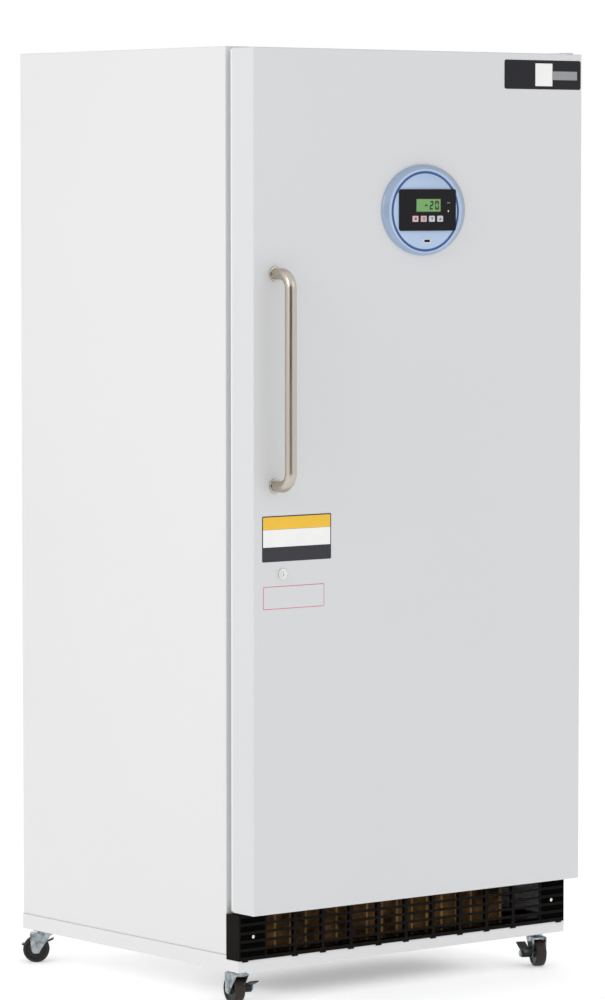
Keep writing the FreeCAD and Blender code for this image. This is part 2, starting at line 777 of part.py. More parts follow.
def evaporator_cover():
    """Sheet housing of the evaporator, open at the back, with a fan opening and return slots below."""
    x0, x1, y0, y1, z0, z1 = evaporator_outline()
    slope = evaporator_size[1] * 0.35
    outer = along_x([(y0 + slope, z0), (y1, z0), (y1, z1), (y0, z1), (y0, z0 + slope)], x0, x1)
    inner = along_x([(y0 + slope, z0 + evaporator_sheet), (y1 + 1, z0 + evaporator_sheet),
                     (y1 + 1, z1 - evaporator_sheet), (y0 + evaporator_sheet, z1 - evaporator_sheet),
                     (y0 + evaporator_sheet, z0 + slope)], x0 + evaporator_sheet, x1 - evaporator_sheet)
    cover = outer.cut(inner)
    fan_x, fan_y, fan_z = evaporator_fan_centre()
    mouth = rod(evaporator_fan_radius + fan_tip_clearance, (fan_x, y0 - 1, fan_z), (fan_x, y0 + slope, fan_z))
    width, height = evaporator_slot
    cover = cover.cut(mouth)
    for side in (-1, 1):
        x = side * width * 0.75
        for row in range(3):
            y = y1 - 30 - row * 2 * height
            cover = cover.cut(box(x - width / 2, x + width / 2, y - height, y, z0 - 1, z0 + evaporator_sheet + 1))
    fan_back = fan_y + fan_hub_length + fan_setback
    bridge = box(fan_x - fan_strut_width / 2, fan_x + fan_strut_width / 2, fan_back, fan_back + 3,
                 z0 + evaporator_sheet, z1 - evaporator_sheet)
    shaft = rod(fan_shaft_radius, (fan_x, fan_y + 4, fan_z), (fan_x, fan_back, fan_z))
    collar = rod(fan_shaft_radius + 2, (fan_x, fan_y + fan_hub_length + 0.3, fan_z), (fan_x, fan_back, fan_z))
    return joined([cover, bridge, shaft, collar])


def evaporator_fan_centre():
    """Front of the evaporator fan's hub, on its axis."""
    x0, x1, y0, y1, z0, z1 = evaporator_outline()
    return 0.0, y0 + evaporator_sheet, (z0 + z1) / 2 + evaporator_size[1] * 0.06


def evaporator_fan():
    """Fan that blows the cold air into the cabin."""
    return fan(evaporator_fan_centre(), evaporator_fan_radius, fan_hub_radius, fan_hub_length, fan_blades,
               fan_blade_pitch, fan_shaft_radius + fan_shaft_clearance)


def pilaster_spots():
    """Side and depth of each slotted shelf standard."""
    return [(side, y) for side in (-1, 1) for y in pilaster_places]


def shelf_level(index):
    """Height of the underside of a shelf's rim."""
    return first_shelf_height + index * shelf_pitch


def shelf_pilasters():
    """Four slotted channels on the liner's side walls, each with the clips that carry the shelves."""
    channels = []
    low = cabin_step_top + pilaster_floor_gap
    high = cabin_top - evaporator_size[1] - pilaster_top_gap
    for side, y in pilaster_spots():
        wall = side * cabin_half_width
        face = wall - side * pilaster_depth
        x0, x1 = sorted((wall, face))
        half = pilaster_width / 2
        channel = box(x0, x1, y - half, y + half, low, high)
        hollow_x = sorted((wall, face + side * pilaster_sheet))
        channel = channel.cut(box(*hollow_x, y - half + pilaster_sheet, y + half - pilaster_sheet, low - 1, high + 1))
        length, thickness, height = shelf_clip
        clips = []
        for index in range(shelf_count):
            z = shelf_level(index)
            tip = face - side * length
            cx = sorted((tip, face))
            clips.append(box(*cx, y - thickness / 2, y + thickness / 2, z - height, z))
        channels.append(joined([channel, *clips]))
    return Part.makeCompound(channels)


def shelf(index):
    """Coated wire shelf: a square rim, cross bars and wires that run from front to back."""
    low = shelf_level(index)
    high = low + shelf_rim
    half = cabin_half_width - shelf_side_gap
    front, back = shelf_front_gap, cabin_back - shelf_back_gap
    rim = box(-half, half, front, back, low, high)
    rim = rim.makeChamfer(shelf_corner, [e for e in rim.Edges if upright(e)])
    hollow = box(-half + shelf_rim, half - shelf_rim, front + shelf_rim, back - shelf_rim, low - 1, high + 1)
    pieces = [rim.cut(hollow.makeChamfer(shelf_corner, [e for e in hollow.Edges if upright(e)]))]
    middle = (front + back) / 2
    pieces.append(box(-half + 1, half - 1, middle - shelf_rim / 2, middle + shelf_rim / 2, low, high))
    count = int(2 * (half - shelf_corner) // shelf_wire_pitch)
    for wire in range(count):
        x = (wire - (count - 1) / 2) * shelf_wire_pitch
        pieces.append(box(x - shelf_wire / 2, x + shelf_wire / 2, front + 1, back - 1, high, high + shelf_wire))
    return joined(pieces)


def lock_hole(radius, start=None, end=None):
    """The round way for the lock through the door's front."""
    start = door_front - 1 if start is None else start
    end = door_front + lock_length if end is None else end
    return rod(radius, (lock_x, start, lock_height), (lock_x, end, lock_height))


def hinge_holes(radius, length):
    """The vertical ways for the hinge pins at both ends of the door."""
    low = rod(radius, (hinge_x, hinge_y, door_bottom - 1), (hinge_x, hinge_y, door_bottom + length))
    high = rod(radius, (hinge_x, hinge_y, door_top - length), (hinge_x, hinge_y, door_top + 1))
    return Part.makeCompound([low, high])


def door_skin():
    """Painted steel pan: the door's front and its four turned edges."""
    pan = box(-half_width, half_width, door_front, door_back, door_bottom, door_top)
    pan = rounded(pan, door_edge_radius, lambda c, e: c.y < door_front + 1 or deep(e))
    pan = pan.cut(box(-half_width + skin, half_width - skin, door_front + skin, door_back + 1,
                      door_bottom + skin, door_top - skin))
    pan = pan.cut(lock_hole(lock_barrel_radius))
    return pan.cut(hinge_holes(hinge_bush_radius, hinge_bush_length))


def door_insulation():
    """Foam inside the door, with a pocket for the lock's cam."""
    core = box(-half_width + skin, half_width - skin, door_front + skin, door_back, door_bottom + skin,
               door_top - skin)
    core = core.cut(lock_hole(lock_barrel_radius))
    pocket_radius = lock_cam_length + lock_pocket_margin
    pocket_front = door_front + lock_length
    pocket = rod(pocket_radius, (lock_x, pocket_front, lock_height),
                 (lock_x, pocket_front + lock_cam_thickness + lock_pocket_margin, lock_height))
    return core.cut(pocket).cut(hinge_holes(hinge_bush_radius, hinge_bush_length))


def plug_wire(y, shrink):
    """Outline of the door's inner plug at a depth, drawn in from the cabin's walls."""
    gap = door_plug_clearance + shrink
    x = cabin_half_width - gap
    low, high = cabin_floor + gap, cabin_top - gap
    corners = [V(-x, y, low), V(x, y, low), V(x, y, high), V(-x, y, high)]
    return Part.makePolygon(corners + corners[:1])


def door_liner():
    """White inner pan: a flange behind the skin and a raised plug with a shallow dish."""
    flange = box(-half_width + 2, half_width - 2, door_back, door_flange_back, door_bottom + 2, door_top - 2)
    flange = rounded(flange, door_edge_radius, lambda c, e: deep(e))
    plug = Part.makeLoft([plug_wire(door_flange_back, 0), plug_wire(door_plug_depth, door_plug_draft)], True, True)
    plug = rounded(plug, 5.0, lambda c, e: c.y > door_plug_depth - 0.1)
    dish = Part.makeLoft([plug_wire(door_plug_depth + 1, dike_width),
                          plug_wire(door_plug_depth - dike_depth, dike_width + door_plug_draft)], True, True)
    return joined([flange, plug.cut(dish)])


def door_gasket():
    """Magnetic seal round the door, with a bellows groove down its outer side."""
    x, low, high = half_width - gasket_inset, door_bottom + gasket_inset, door_top - gasket_inset
    outer = (-x, x, low, high)
    inner = (-x + gasket_width, x - gasket_width, low + gasket_width, high - gasket_width)
    seal = ring_frame(outer, inner, door_flange_back, -gasket_clearance)
    groove = gasket_thickness / 4
    middle = (door_flange_back - gasket_clearance) / 2
    keep = (-x + groove, x - groove, low + groove, high - groove)
    waist = ring_frame((-x - 1, x + 1, low - 1, high + 1), keep, middle - groove / 2, middle + groove / 2)
    return seal.cut(waist)


def hinge_bushes():
    """Plastic bushes in the door's ends that turn on the hinge pins."""
    bushes = []
    for start, end in ((door_bottom, door_bottom + hinge_bush_length), (door_top, door_top - hinge_bush_length)):
        bush = rod(hinge_bush_radius, (hinge_x, hinge_y, start), (hinge_x, hinge_y, end))
        bore_start, bore_end = min(start, end) - 1, max(start, end) + 1
        bore = rod(hinge_pin_radius + hinge_clearance, (hinge_x, hinge_y, bore_start), (hinge_x, hinge_y, bore_end))
        bushes.append(bush.cut(bore))
    return Part.makeCompound(bushes)


def door_handle():
    """Bent tube handle with a collar at each foot."""
    out = door_front - handle_stand_off
    bar = pipe([(handle_x, door_front, handle_top), (handle_x, out, handle_top), (handle_x, out, handle_bottom),
                (handle_x, door_front, handle_bottom)], handle_tube_radius, handle_bend_radius)
    collars = [rod(handle_collar_radius, (handle_x, door_front, z), (handle_x, door_front - handle_collar_length, z))
               for z in (handle_top, handle_bottom)]
    return joined([bar, *collars])


def lock_body():
    """Fixed lock barrel with its round bezel on the door."""
    barrel = lock_hole(lock_barrel_radius, door_front, door_front + lock_length)
    bezel = lock_hole(lock_bezel_radius, door_front - lock_bezel_proud, door_front)
    bore = lock_hole(lock_plug_radius + lock_clearance, door_front - lock_bezel_proud - 1,
                     door_front + lock_length + 1)
    return joined([barrel, bezel]).cut(bore)


def lock_cylinder():
    """Turning plug with a key slot in front and a cam behind the barrel."""
    front = door_front - lock_bezel_proud - 0.6
    cam_front = door_front + lock_length + 0.3
    plug = lock_hole(lock_plug_radius, front, cam_front)
    long_side, short_side, depth = lock_key_slot
    plug = plug.cut(box(lock_x - short_side / 2, lock_x + short_side / 2, front - 1, front + depth,
                        lock_height - long_side / 2, lock_height + long_side / 2))
    half = lock_cam_width / 2
    cam = box(lock_x - half, lock_x + half, cam_front, cam_front + lock_cam_thickness, lock_height - half,
              lock_height + lock_cam_length - half)
    cam = rounded(cam, half * 0.9, lambda c, e: deep(e))
    return joined([plug, cam])


def oval(size, y):
    """Upright oval wire centred on the panel."""
    width, height = size
    ellipse = Part.Ellipse(V(0, 0, 0), width / 2, height / 2)
    wire = Part.Wire(ellipse.toShape())
    wire.rotate(V(0, 0, 0), V(1, 0, 0), 90)
    wire.translate(V(panel_x, y, panel_z))
    return wire


def panel_plate(size, corner, y0, y1, grow=0.0):
    """Round-cornered plate centred on the panel, grown by a clearance on every side."""
    return rounded_plate(size[0] + 2 * grow, size[1] + 2 * grow, corner + grow, y0, y1, panel_x, panel_z)


def controller_bezel():
    """Raised oval surround of the controller, with seats for its case and the data port."""
    body = Part.makeLoft([oval(bezel_base, door_front), oval(bezel_front, bezel_face)], True, True)
    body = body.cut(panel_plate(controller_size, controller_corner, bezel_face - 1, door_front + 1))
    x, z = panel_x + port_offset[0], panel_z + port_offset[1]
    width, height = port_size
    return body.cut(box(x - width / 2, x + width / 2, bezel_face - 1, bezel_face + port_depth,
                        z - height / 2, z + height / 2))


def button_centres():
    """Centre of each button on the controller's face."""
    x, z = panel_x + button_row_offset[0], panel_z + button_row_offset[1]
    return [(x + (index - (button_count - 1) / 2) * button_pitch, z) for index in range(button_count)]


def controller_housing():
    """Black controller case: open at the back, with a display seat and four button holes."""
    case = panel_plate(controller_size, controller_corner, controller_face, door_front)
    inside = (controller_size[0] - 2 * controller_wall, controller_size[1] - 2 * controller_wall)
    case = case.cut(panel_plate(inside, controller_corner - 2, controller_face + controller_wall, door_front + 1))
    width, height = display_size
    x, z = panel_x + display_offset[0], panel_z + display_offset[1]
    case = case.cut(box(x - width / 2, x + width / 2, controller_face - 1, controller_face + display_depth,
                        z - height / 2, z + height / 2))
    for x, z in button_centres():
        hole = rounded_plate(button_size[0] + 2 * button_clearance, button_size[1] + 2 * button_clearance, 2.0,
                             controller_face - 1, controller_face + controller_wall + 1, x, z)
        case = case.cut(hole)
    return case


def display_window():
    """Display seated flush in the controller's face."""
    width, height = display_size
    x, z = panel_x + display_offset[0], panel_z + display_offset[1]
    return box(x - width / 2, x + width / 2, controller_face, controller_face + display_depth,
               z - height / 2, z + height / 2)


def controller_button(index):
    """Push button with a crowned cap and a flange behind the controller's face."""
    x, z = button_centres()[index]
    width, height = button_size
    back = controller_face + controller_wall + button_clearance
    cap = rounded_plate(width, height, 1.8, controller_face - button_proud, back + button_flange, x, z)
    cap = cap.makeChamfer(0.5, [e for e in cap.Edges if e.CenterOfMass.y < controller_face - button_proud + 1e-3])
    half_width_out, half_height_out = width / 2 + button_flange_lip, height / 2 + button_flange_lip
    flange = box(x - half_width_out, x + half_width_out, back, back + button_flange,
                 z - half_height_out, z + half_height_out)
    return joined([cap, flange])


def data_port():
    """Small socket in the bezel's face."""
    x, z = panel_x + port_offset[0], panel_z + port_offset[1]
    width, height = port_size
    shell = box(x - width / 2, x + width / 2, bezel_face - port_proud / 2, bezel_face + port_depth,
                z - height / 2, z + height / 2)
    return shell.cut(box(x - width / 2 + port_wall, x + width / 2 - port_wall, bezel_face - port_proud,
                         bezel_face + port_depth - 2, z - height / 2 + port_wall, z + height / 2 - port_wall))


def caster_mount(spot):
    """Square cap under the tray with the headed kingpin that the fork turns on."""
    x, y = spot
    cap_low = underside_height - mount_cap_thickness
    half = mount_cap_size / 2
    cap = box(x - half, x + half, y - half, y + half, cap_low, underside_height)
    cap = cap.makeChamfer(mount_cap_corner, [e for e in cap.Edges if upright(e)])
    head_top = fork_boss_bottom - kingpin_head_gap
    pin = rod(kingpin_radius, (x, y, head_top), (x, y, cap_low))
    head = rod(kingpin_head_radius, (x, y, head_top - kingpin_head_thickness), (x, y, head_top))
    return joined([cap, pin, head])


def caster_mounts():
    """The four caster mounts."""
    return Part.makeCompound([caster_mount(spot) for spot in caster_spots().values()])


def lever_side():
    """Distance from the wheel's middle plane to the brake lever."""
    return wheel_width / 2 + wheel_side_gap + fork_plate + lever_gap


def caster_fork():
    """Pressed fork at the origin, trailing along +X: swivel boss, crown, two legs and the riveted axle."""
    inner = wheel_width / 2 + wheel_side_gap
    outer = inner + fork_plate
    x, z = caster_trail, wheel_radius
    crown_low = fork_crown_top - fork_crown_gap
    front, back = -fork_crown_front, caster_trail + fork_leg_width / 2 + 3
    half = fork_leg_width / 2
    leg = [(front, crown_low), (x - half, z), (x - half * 0.6, z - half * 0.8), (x + half * 0.6, z - half * 0.8),
           (x + half, z), (back, crown_low)]
    legs = [along_y(leg, y0, y0 + fork_plate) for y0 in (-outer, inner)]
    crown = box(front, back, -outer, outer, crown_low - fork_plate, crown_low)
    boss = rod(fork_boss_radius, (0, 0, fork_boss_bottom), (0, 0, fork_crown_top))
    far_end = lever_side() + lever_width + lever_gap
    axle = rod(axle_radius, (x, -far_end, z), (x, outer, z))
    head = rod(axle_head_radius, (x, -far_end - axle_head_length, z), (x, -far_end, z))
    fork = joined([crown, boss, *legs, axle, head])
    return fork.cut(rod(kingpin_radius + kingpin_clearance, (0, 0, fork_boss_bottom - 1), (0, 0, fork_crown_top + 1)))


def caster_wheel():
    """Solid wheel on its axle, with a hub that stands proud on both sides."""
    half = wheel_width / 2
    x, z = caster_trail, wheel_radius
    hub_end = half + wheel_hub_proud
    tyre = rod(wheel_radius, (x, -half, z), (x, half, z))
    hub = rod(wheel_hub_radius, (x, -hub_end, z), (x, hub_end, z))
    return joined([tyre, hub]).cut(rod(axle_radius + axle_clearance, (x, -hub_end - 1, z), (x, hub_end + 1, z)))


def caster_brake():
    """Rocker lever beside the fork: a hub on the axle and a raised and a lowered pedal wing."""
    y0 = -lever_side() - lever_width
    x, z = caster_trail, wheel_radius
    up_x, up_z = lever_up_wing
    down_x, down_z = lever_down_wing
    top, low = z + lever_hub_radius, z - lever_hub_radius
    outline = [(x - up_x, z + up_z), (x - lever_hub_radius, top - lever_sheet), (x - lever_hub_radius, low + 3),
               (x - lever_hub_radius + 3, low), (x + lever_hub_radius - 3, low), (x + lever_hub_radius, low + 3),
               (x + lever_hub_radius, top - lever_sheet - 2), (x + down_x, z + down_z),
               (x + down_x, z + down_z + lever_sheet), (x + lever_hub_radius - 2, top),
               (x - lever_hub_radius, top), (x - up_x, z + up_z + lever_sheet)]
    lever = along_y(outline, y0, y0 + lever_width)
    return lever.cut(rod(axle_radius + axle_clearance, (x, y0 - 1, z), (x, y0 + lever_width + 1, z)))


def placed(shape, corner):
    """Turns a caster piece to its heading and sets it on its swivel axis."""
    copy = shape.copy()
    copy.rotate(V(0, 0, 0), V(0, 0, 1), caster_headings[corner])
    x, y = caster_spots()[corner]
    copy.translate(V(x, y, 0))
    return copy


def all_nodes():
    """Every piece of the freezer by name, before the model is moved to its origin."""
    nodes = {"outer_cabinet": outer_cabinet(), "side_insulation_left": side_insulation(-1),
             "side_insulation_right": side_insulation(1), "floor_insulation": floor_insulation(),
             "back_insulation": back_insulation(), "top_insulation": top_insulation(),
             "inner_liner": inner_liner(), "breaker_frame": breaker_frame(), "back_panel": back_panel(),
             "rear_cover": rear_cover(), "base_frame": base_frame(), "grille": grille(),
             "grille_screws": grille_screws(), "hinge_brackets": hinge_brackets(),
             "probe_sleeve": probe_sleeve(), "cord_gland": cord_gland(), "condenser_coil": condenser_coil(),
             "condenser_fins": condenser_fins(), "fan_shroud": fan_shroud(), "condenser_fan": condenser_fan(),
             "fan_motor": fan_motor(), "compressor": compressor_body(), "compressor_mounts": compressor_mounts(),
             "refrigerant_lines": refrigerant_lines(), "evaporator_cover": evaporator_cover(),
             "evaporator_fan": evaporator_fan(), "shelf_pilasters": shelf_pilasters(),
             "door_skin": door_skin(), "door_insulation": door_insulation(), "door_liner": door_liner(),
             "door_gasket": door_gasket(), "hinge_bushes": hinge_bushes(), "door_handle": door_handle(),
             "lock_body": lock_body(), "lock_cylinder": lock_cylinder(), "controller_bezel": controller_bezel(),
             "controller_housing": controller_housing(), "display_window": display_window(),
             "data_port": data_port(), "caster_mounts": caster_mounts()}
    for index in range(shelf_count):
        nodes[f"shelf_{index + 1}"] = shelf(index)
    for index in range(button_count):
        nodes[f"controller_button_{index + 1}"] = controller_button(index)
    caster_pieces = {"caster_fork": caster_fork(), "caster_wheel": caster_wheel(), "caster_brake": caster_brake()}
    for corner in caster_headings:
        for piece, shape in caster_pieces.items():
            nodes[f"{piece}_{corner}"] = placed(shape, corner)
    return nodes


nodes = all_nodes()
bounds = FreeCAD.BoundBox()
for shape in nodes.values():
    bounds.add(shape.optimalBoundingBox(False))
origin_shift = V(-bounds.Center.x, -bounds.Center.y, -bounds.ZMin)

os.makedirs("parts", exist_ok=True)
for name, shape in nodes.items():
    shape.translate(origin_shift)
    shape.exportStep(f"parts/{name}.step")
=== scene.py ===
"""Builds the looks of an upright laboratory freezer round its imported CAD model."""

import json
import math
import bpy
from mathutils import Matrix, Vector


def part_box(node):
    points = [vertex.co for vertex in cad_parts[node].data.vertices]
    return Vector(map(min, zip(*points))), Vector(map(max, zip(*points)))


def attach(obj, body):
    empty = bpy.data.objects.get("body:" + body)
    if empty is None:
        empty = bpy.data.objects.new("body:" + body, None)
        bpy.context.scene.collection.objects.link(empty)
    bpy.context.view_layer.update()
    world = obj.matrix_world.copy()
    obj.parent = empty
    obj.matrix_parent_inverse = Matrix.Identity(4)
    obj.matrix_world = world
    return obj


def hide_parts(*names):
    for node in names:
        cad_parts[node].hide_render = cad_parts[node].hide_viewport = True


bl_info = {
    "name": "Laboratory Freezer",
    "version": (1, 0, 0),
    "blender": (4, 5, 0),
    "location": "3D View > Sidebar > Freezer",
    "description": "Dresses the freezer's cabinet, door, control panel, shelves and casters",
    "category": "Object",
}

from functools import cache

import bmesh
import bpy
from bpy.props import FloatProperty, FloatVectorProperty, IntProperty, PointerProperty
from mathutils import Vector

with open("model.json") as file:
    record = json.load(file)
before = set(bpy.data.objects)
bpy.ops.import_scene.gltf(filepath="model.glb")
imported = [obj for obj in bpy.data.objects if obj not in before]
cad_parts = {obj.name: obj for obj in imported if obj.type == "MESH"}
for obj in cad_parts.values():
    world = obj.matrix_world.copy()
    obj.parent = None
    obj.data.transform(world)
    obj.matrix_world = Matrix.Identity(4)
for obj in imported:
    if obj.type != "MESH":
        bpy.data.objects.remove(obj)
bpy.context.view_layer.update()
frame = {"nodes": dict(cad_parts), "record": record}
MM = 0.001
HOME = {node: body for body, nodes in frame["record"]["behaviour"]["bodies"].items() for node in nodes}
JOINTS = {joint["name"]: joint for joint in frame["record"]["behaviour"]["joints"]}


def paint(red, green, blue):
    """Scene-linear colour of a colour read from 0 to 255."""
    def channel(value):
        value /= 255
        return value / 12.92 if value <= 0.04045 else ((value + 0.055) / 1.055) ** 2.4
    return (channel(red), channel(green), channel(blue))


# Sizes and colours a user would change

COLOUR = {"subtype": "COLOR", "size": 3, "min": 0, "max": 1}


class FreezerColours(bpy.types.PropertyGroup):
    cabinet: FloatVectorProperty(name="Cabinet", description="Paint of the cabinet and its base",
                                 default=paint(229, 229, 230), **COLOUR)
    door: FloatVectorProperty(name="Door", description="Paint of the door's front",
                              default=paint(219, 220, 222), **COLOUR)
    bezel: FloatVectorProperty(name="Panel surround", description="Pale blue of the round panel",
                               default=paint(178, 200, 230), **COLOUR)
    ring: FloatVectorProperty(name="Panel line", description="Blue line round the panel's face",
                              default=paint(44, 82, 146), **COLOUR)
    controller: FloatVectorProperty(name="Controller", description="Black of the controller's case",
                                    default=paint(26, 25, 29), **COLOUR)
    display: FloatVectorProperty(name="Display", description="Green of the lit display",
                                 default=paint(104, 158, 82), **COLOUR)
    handle: FloatVectorProperty(name="Handle", description="Brushed steel of the handle",
                                default=paint(196, 188, 176), **COLOUR)
    grille: FloatVectorProperty(name="Grille", description="Dark brown-black of the moulded grille",
                                default=paint(17, 14, 11), **COLOUR)
    wheel: FloatVectorProperty(name="Wheel", description="Dark hard rubber of the wheels",
                               default=paint(52, 44, 38), **COLOUR)


class FreezerSizes(bpy.types.PropertyGroup):
    sheet_edge: FloatProperty(name="Sheet edge", description="Rounding of folded sheet edges",
                              unit="LENGTH", min=0.0001, max=0.003, default=1.0 * MM)
    moulded_edge: FloatProperty(name="Moulded edge", description="Rounding of moulded edges",
                                unit="LENGTH", min=0.0001, max=0.002, default=0.6 * MM)
    ring_width: FloatProperty(name="Panel line width", description="Width of the blue line round the panel",
                              unit="LENGTH", min=0.001, max=0.006, default=5.0 * MM)
    wire_radius: FloatProperty(name="Shelf wire radius", description="Radius of a shelf wire",
                               unit="LENGTH", min=0.0005, max=0.0015, default=1.5 * MM)
    shelf_wires: IntProperty(name="Shelf wires", description="Number of wires in a shelf",
                             min=8, max=60, default=29)
    condenser_fins: IntProperty(name="Condenser fins", description="Number of fins in the condenser",
                                min=20, max=300, default=180)
    lamp_level: FloatProperty(name="Lamp level", description="Strength of the studio lamps",
                              min=0, max=5, default=1.0)


def sizes():
    """The sizes as the sidebar has them."""
    return bpy.context.scene.freezer_sizes


# Each finish: its colour from 0 to 255 or by its name in the sidebar, the smooth and the rough end of its
# roughness, how metallic it is, the drift of its tone and the drift's scale, the grain of its relief and
# the depth in mm, its gloss, and what only a few have
FINISHES = {
    "cabinet_paint": ("cabinet", 0.4, 0.5, 0, 0.015, 1.3, 520, 0.006, 0.5),
    "door_paint": ("door", 0.38, 0.48, 0, 0.02, 1.1, 520, 0.006, 0.5),
    "white_liner": ((236, 237, 236), 0.25, 0.35, 0, 0.02, 2.5, 260, 0.02, 0.5),
    "galvanised_sheet": ((186, 190, 192), 0.3, 0.5, 0.85, 0.16, 34, 180, 0.01, 0.5),
    "zinc_plate": ((172, 180, 184), 0.2, 0.36, 0.95, 0, 70, 420, 0.02, 0.5, {"shade": (104, 114, 120)}),
    "brushed_steel": ("handle", 0.24, 0.36, 1, 0.1, 5, 300, 0.012, 0.5, {"fine_grain": 3200, "stretch": (1, 1, 0.02)}),
    "polished_steel": ((232, 231, 228), 0.12, 0.2, 1, 0.06, 40, 300, 0.006, 0.5),
    "aluminium_sheet": ((208, 211, 214), 0.3, 0.42, 0.9, 0.08, 12, 700, 0.05, 0.5),
    "copper_tube": ((196, 128, 84), 0.24, 0.42, 1, 0.35, 26, 200, 0.02, 0.5),
    # Painted shade: the galvanised fan shroud darkened to dark grey for the shade in the machine bay
    "dark_sheet": ((72, 73, 74), 0.45, 0.6, 0.6, 0.25, 20, 300, 0.02, 0.2),
    "dusty_fins": ((196, 158, 104), 0.5, 0.7, 0.1, 0, 22, 700, 0.05, 0.2, {"shade": (104, 80, 52)}),
    "black_enamel": ((30, 30, 32), 0.28, 0.42, 0, 0.2, 12, 320, 0.04, 0.5),
    "black_plastic": ((24, 26, 26), 0.34, 0.5, 0, 0.18, 30, 900, 0.03, 0.3),
    "fan_plastic": ((44, 45, 48), 0.3, 0.45, 0, 0.14, 18, 900, 0.02, 0.5),
    "grille_plastic": ("grille", 0.42, 0.56, 0, 0.2, 9, 1100, 0.03, 0.06),
    "grille_shadow": ((4, 4, 4), 0.7, 0.85, 0, 0.2, 9, 1100, 0.03, 0.02),
    "wheel_rubber": ("wheel", 0.42, 0.6, 0, 0.25, 45, 600, 0.05, 0.25),
    "wheel_core": ((30, 31, 33), 0.32, 0.46, 0, 0.15, 40, 900, 0.03, 0.3),
    "white_plastic": ((232, 233, 234), 0.3, 0.42, 0, 0.03, 15, 900, 0.015, 0.5),
    "coated_wire": ((228, 229, 228), 0.28, 0.4, 0, 0.04, 18, 500, 0.03, 0.5),
    # Painted shade: dark grey that stands for the open slots in the shelf standards
    "slot_dark": ((60, 62, 64), 0.7, 0.85, 0, 0.1, 50, 400, 0.02, 0.5),
    "soft_gasket": ((196, 198, 200), 0.5, 0.66, 0, 0.06, 8, 500, 0.03, 0.5),
    "foam": ((226, 208, 158), 0.8, 0.95, 0, 0.12, 40, 300, 0.2, 0.5),
    "panel_blue": ("bezel", 0.26, 0.34, 0, 0.03, 9, 700, 0.01, 0.5),
    # Painted shade: the pale blue darkened for the surround's steep outer side, as if that side were turned from the
    # light
    "panel_side": ("bezel", 0.26, 0.34, 0, 0.05, 9, 700, 0.01, 0.5, {"tone": 0.72, "coat": 0.3}),
    "panel_line": ("ring", 0.3, 0.4, 0, 0.06, 20, 700, 0.01, 0.5),
    "case_plastic": ("controller", 0.3, 0.42, 0, 0.12, 20, 1800, 0.03, 0.12),
    "lit_display": ("display", 0.12, 0.2, 0, 0.12, 60, 900, 0.004, 0.5, {"coat": 0.5, "glow": 0.12}),
    "display_ink": ((14, 30, 12), 0.3, 0.4, 0, 0.1, 80, 400, 0.002, 0.5),
    "display_frame": ((22, 24, 22), 0.3, 0.42, 0, 0.1, 80, 400, 0.002, 0.5),
    "signal_lamp": ((226, 224, 218), 0.1, 0.16, 0, 0.05, 200, 400, 0.002, 0.5),
    "pale_mark": ((120, 124, 122), 0.4, 0.5, 0, 0.1, 200, 400, 0.002, 0.5),
    "key_pale": ((205, 206, 211), 0.42, 0.55, 0, 0.05, 80, 1500, 0.02, 0.5),
    "key_rosy": ((214, 186, 192), 0.42, 0.55, 0, 0.05, 80, 1500, 0.02, 0.5),
    "key_red": ((176, 52, 74), 0.45, 0.55, 0, 0.1, 90, 400, 0.004, 0.5),
    "key_grey": ((112, 116, 128), 0.45, 0.55, 0, 0.1, 90, 400, 0.004, 0.5),
    "plate_white": ((248, 248, 247), 0.22, 0.3, 0, 0.04, 30, 1200, 0.004, 0.5),
    "plate_yellow": ((246, 196, 52), 0.22, 0.3, 0, 0.04, 30, 1200, 0.004, 0.5),
    "plate_slate": ((50, 50, 56), 0.24, 0.32, 0, 0.04, 30, 1200, 0.004, 0.3),
    "plate_ink": ((30, 29, 35), 0.24, 0.32, 0, 0.04, 30, 1200, 0.004, 0.2),
    "plate_grey": ((150, 152, 156), 0.24, 0.32, 0, 0.04, 30, 1200, 0.004, 0.5),
    "plate_red": ((214, 84, 104), 0.3, 0.4, 0, 0.04, 30, 1200, 0.004, 0.5),
}


# Nodes, and the surface patterns that all finishes share


def fill(node, **sockets):
    """Links a node's inputs to the outputs given, and sets the others to their values."""
    for label, value in sockets.items():
        socket = node.inputs[label.replace("_", " ")]
        if isinstance(value, bpy.types.NodeSocket):
            node.id_data.links.new(value, socket)
        else:
            socket.default_value = value
    return node


def add(tree, kind, setting=None, **sockets):
    """New node with one setting made before its inputs are filled."""
    node = tree.nodes.new(kind)
    if setting:
        setattr(node, *setting)
    return fill(node, **sockets)


def socket_group(name, kind, inputs, outputs):
    """An empty group with its sockets; returns the tree, what comes in and what goes out."""
    tree = bpy.data.node_groups.new(name, kind)
    for way, sockets in (("INPUT", inputs), ("OUTPUT", outputs)):
        for label, sort in sockets.items():
            tree.interface.new_socket(label, in_out=way, socket_type="NodeSocket" + sort)
    return tree, tree.nodes.new("NodeGroupInput").outputs, tree.nodes.new("NodeGroupOutput").inputs


def noise(tree, start, scale, detail):
    """Noise texture on a group's coordinates, at the scale that one of its inputs gives."""
    node = add(tree, "ShaderNodeTexNoise", Vector=start["Vector"], Scale=start[scale], Detail=detail)
    return node.outputs["Fac"]


@cache
def tone_group():
    """Slow change of tone across a surface, between a colour and a darker one."""
    tree, start, end = socket_group(
        "tone_drift", "ShaderNodeTree",
        {"Vector": "Vector", "Scale": "Float", "Colour": "Color", "Shade": "Color"}, {"Colour": "Color"})
    mask = add(tree, "ShaderNodeMapRange", Value=noise(tree, start, "Scale", 4), From_Min=0.35, From_Max=0.65)
    mix = add(tree, "ShaderNodeMix", ("data_type", "RGBA"), Factor=mask.outputs["Result"],
              A=start["Shade"], B=start["Colour"])
    tree.links.new(mix.outputs["Result"], end["Colour"])
    return tree


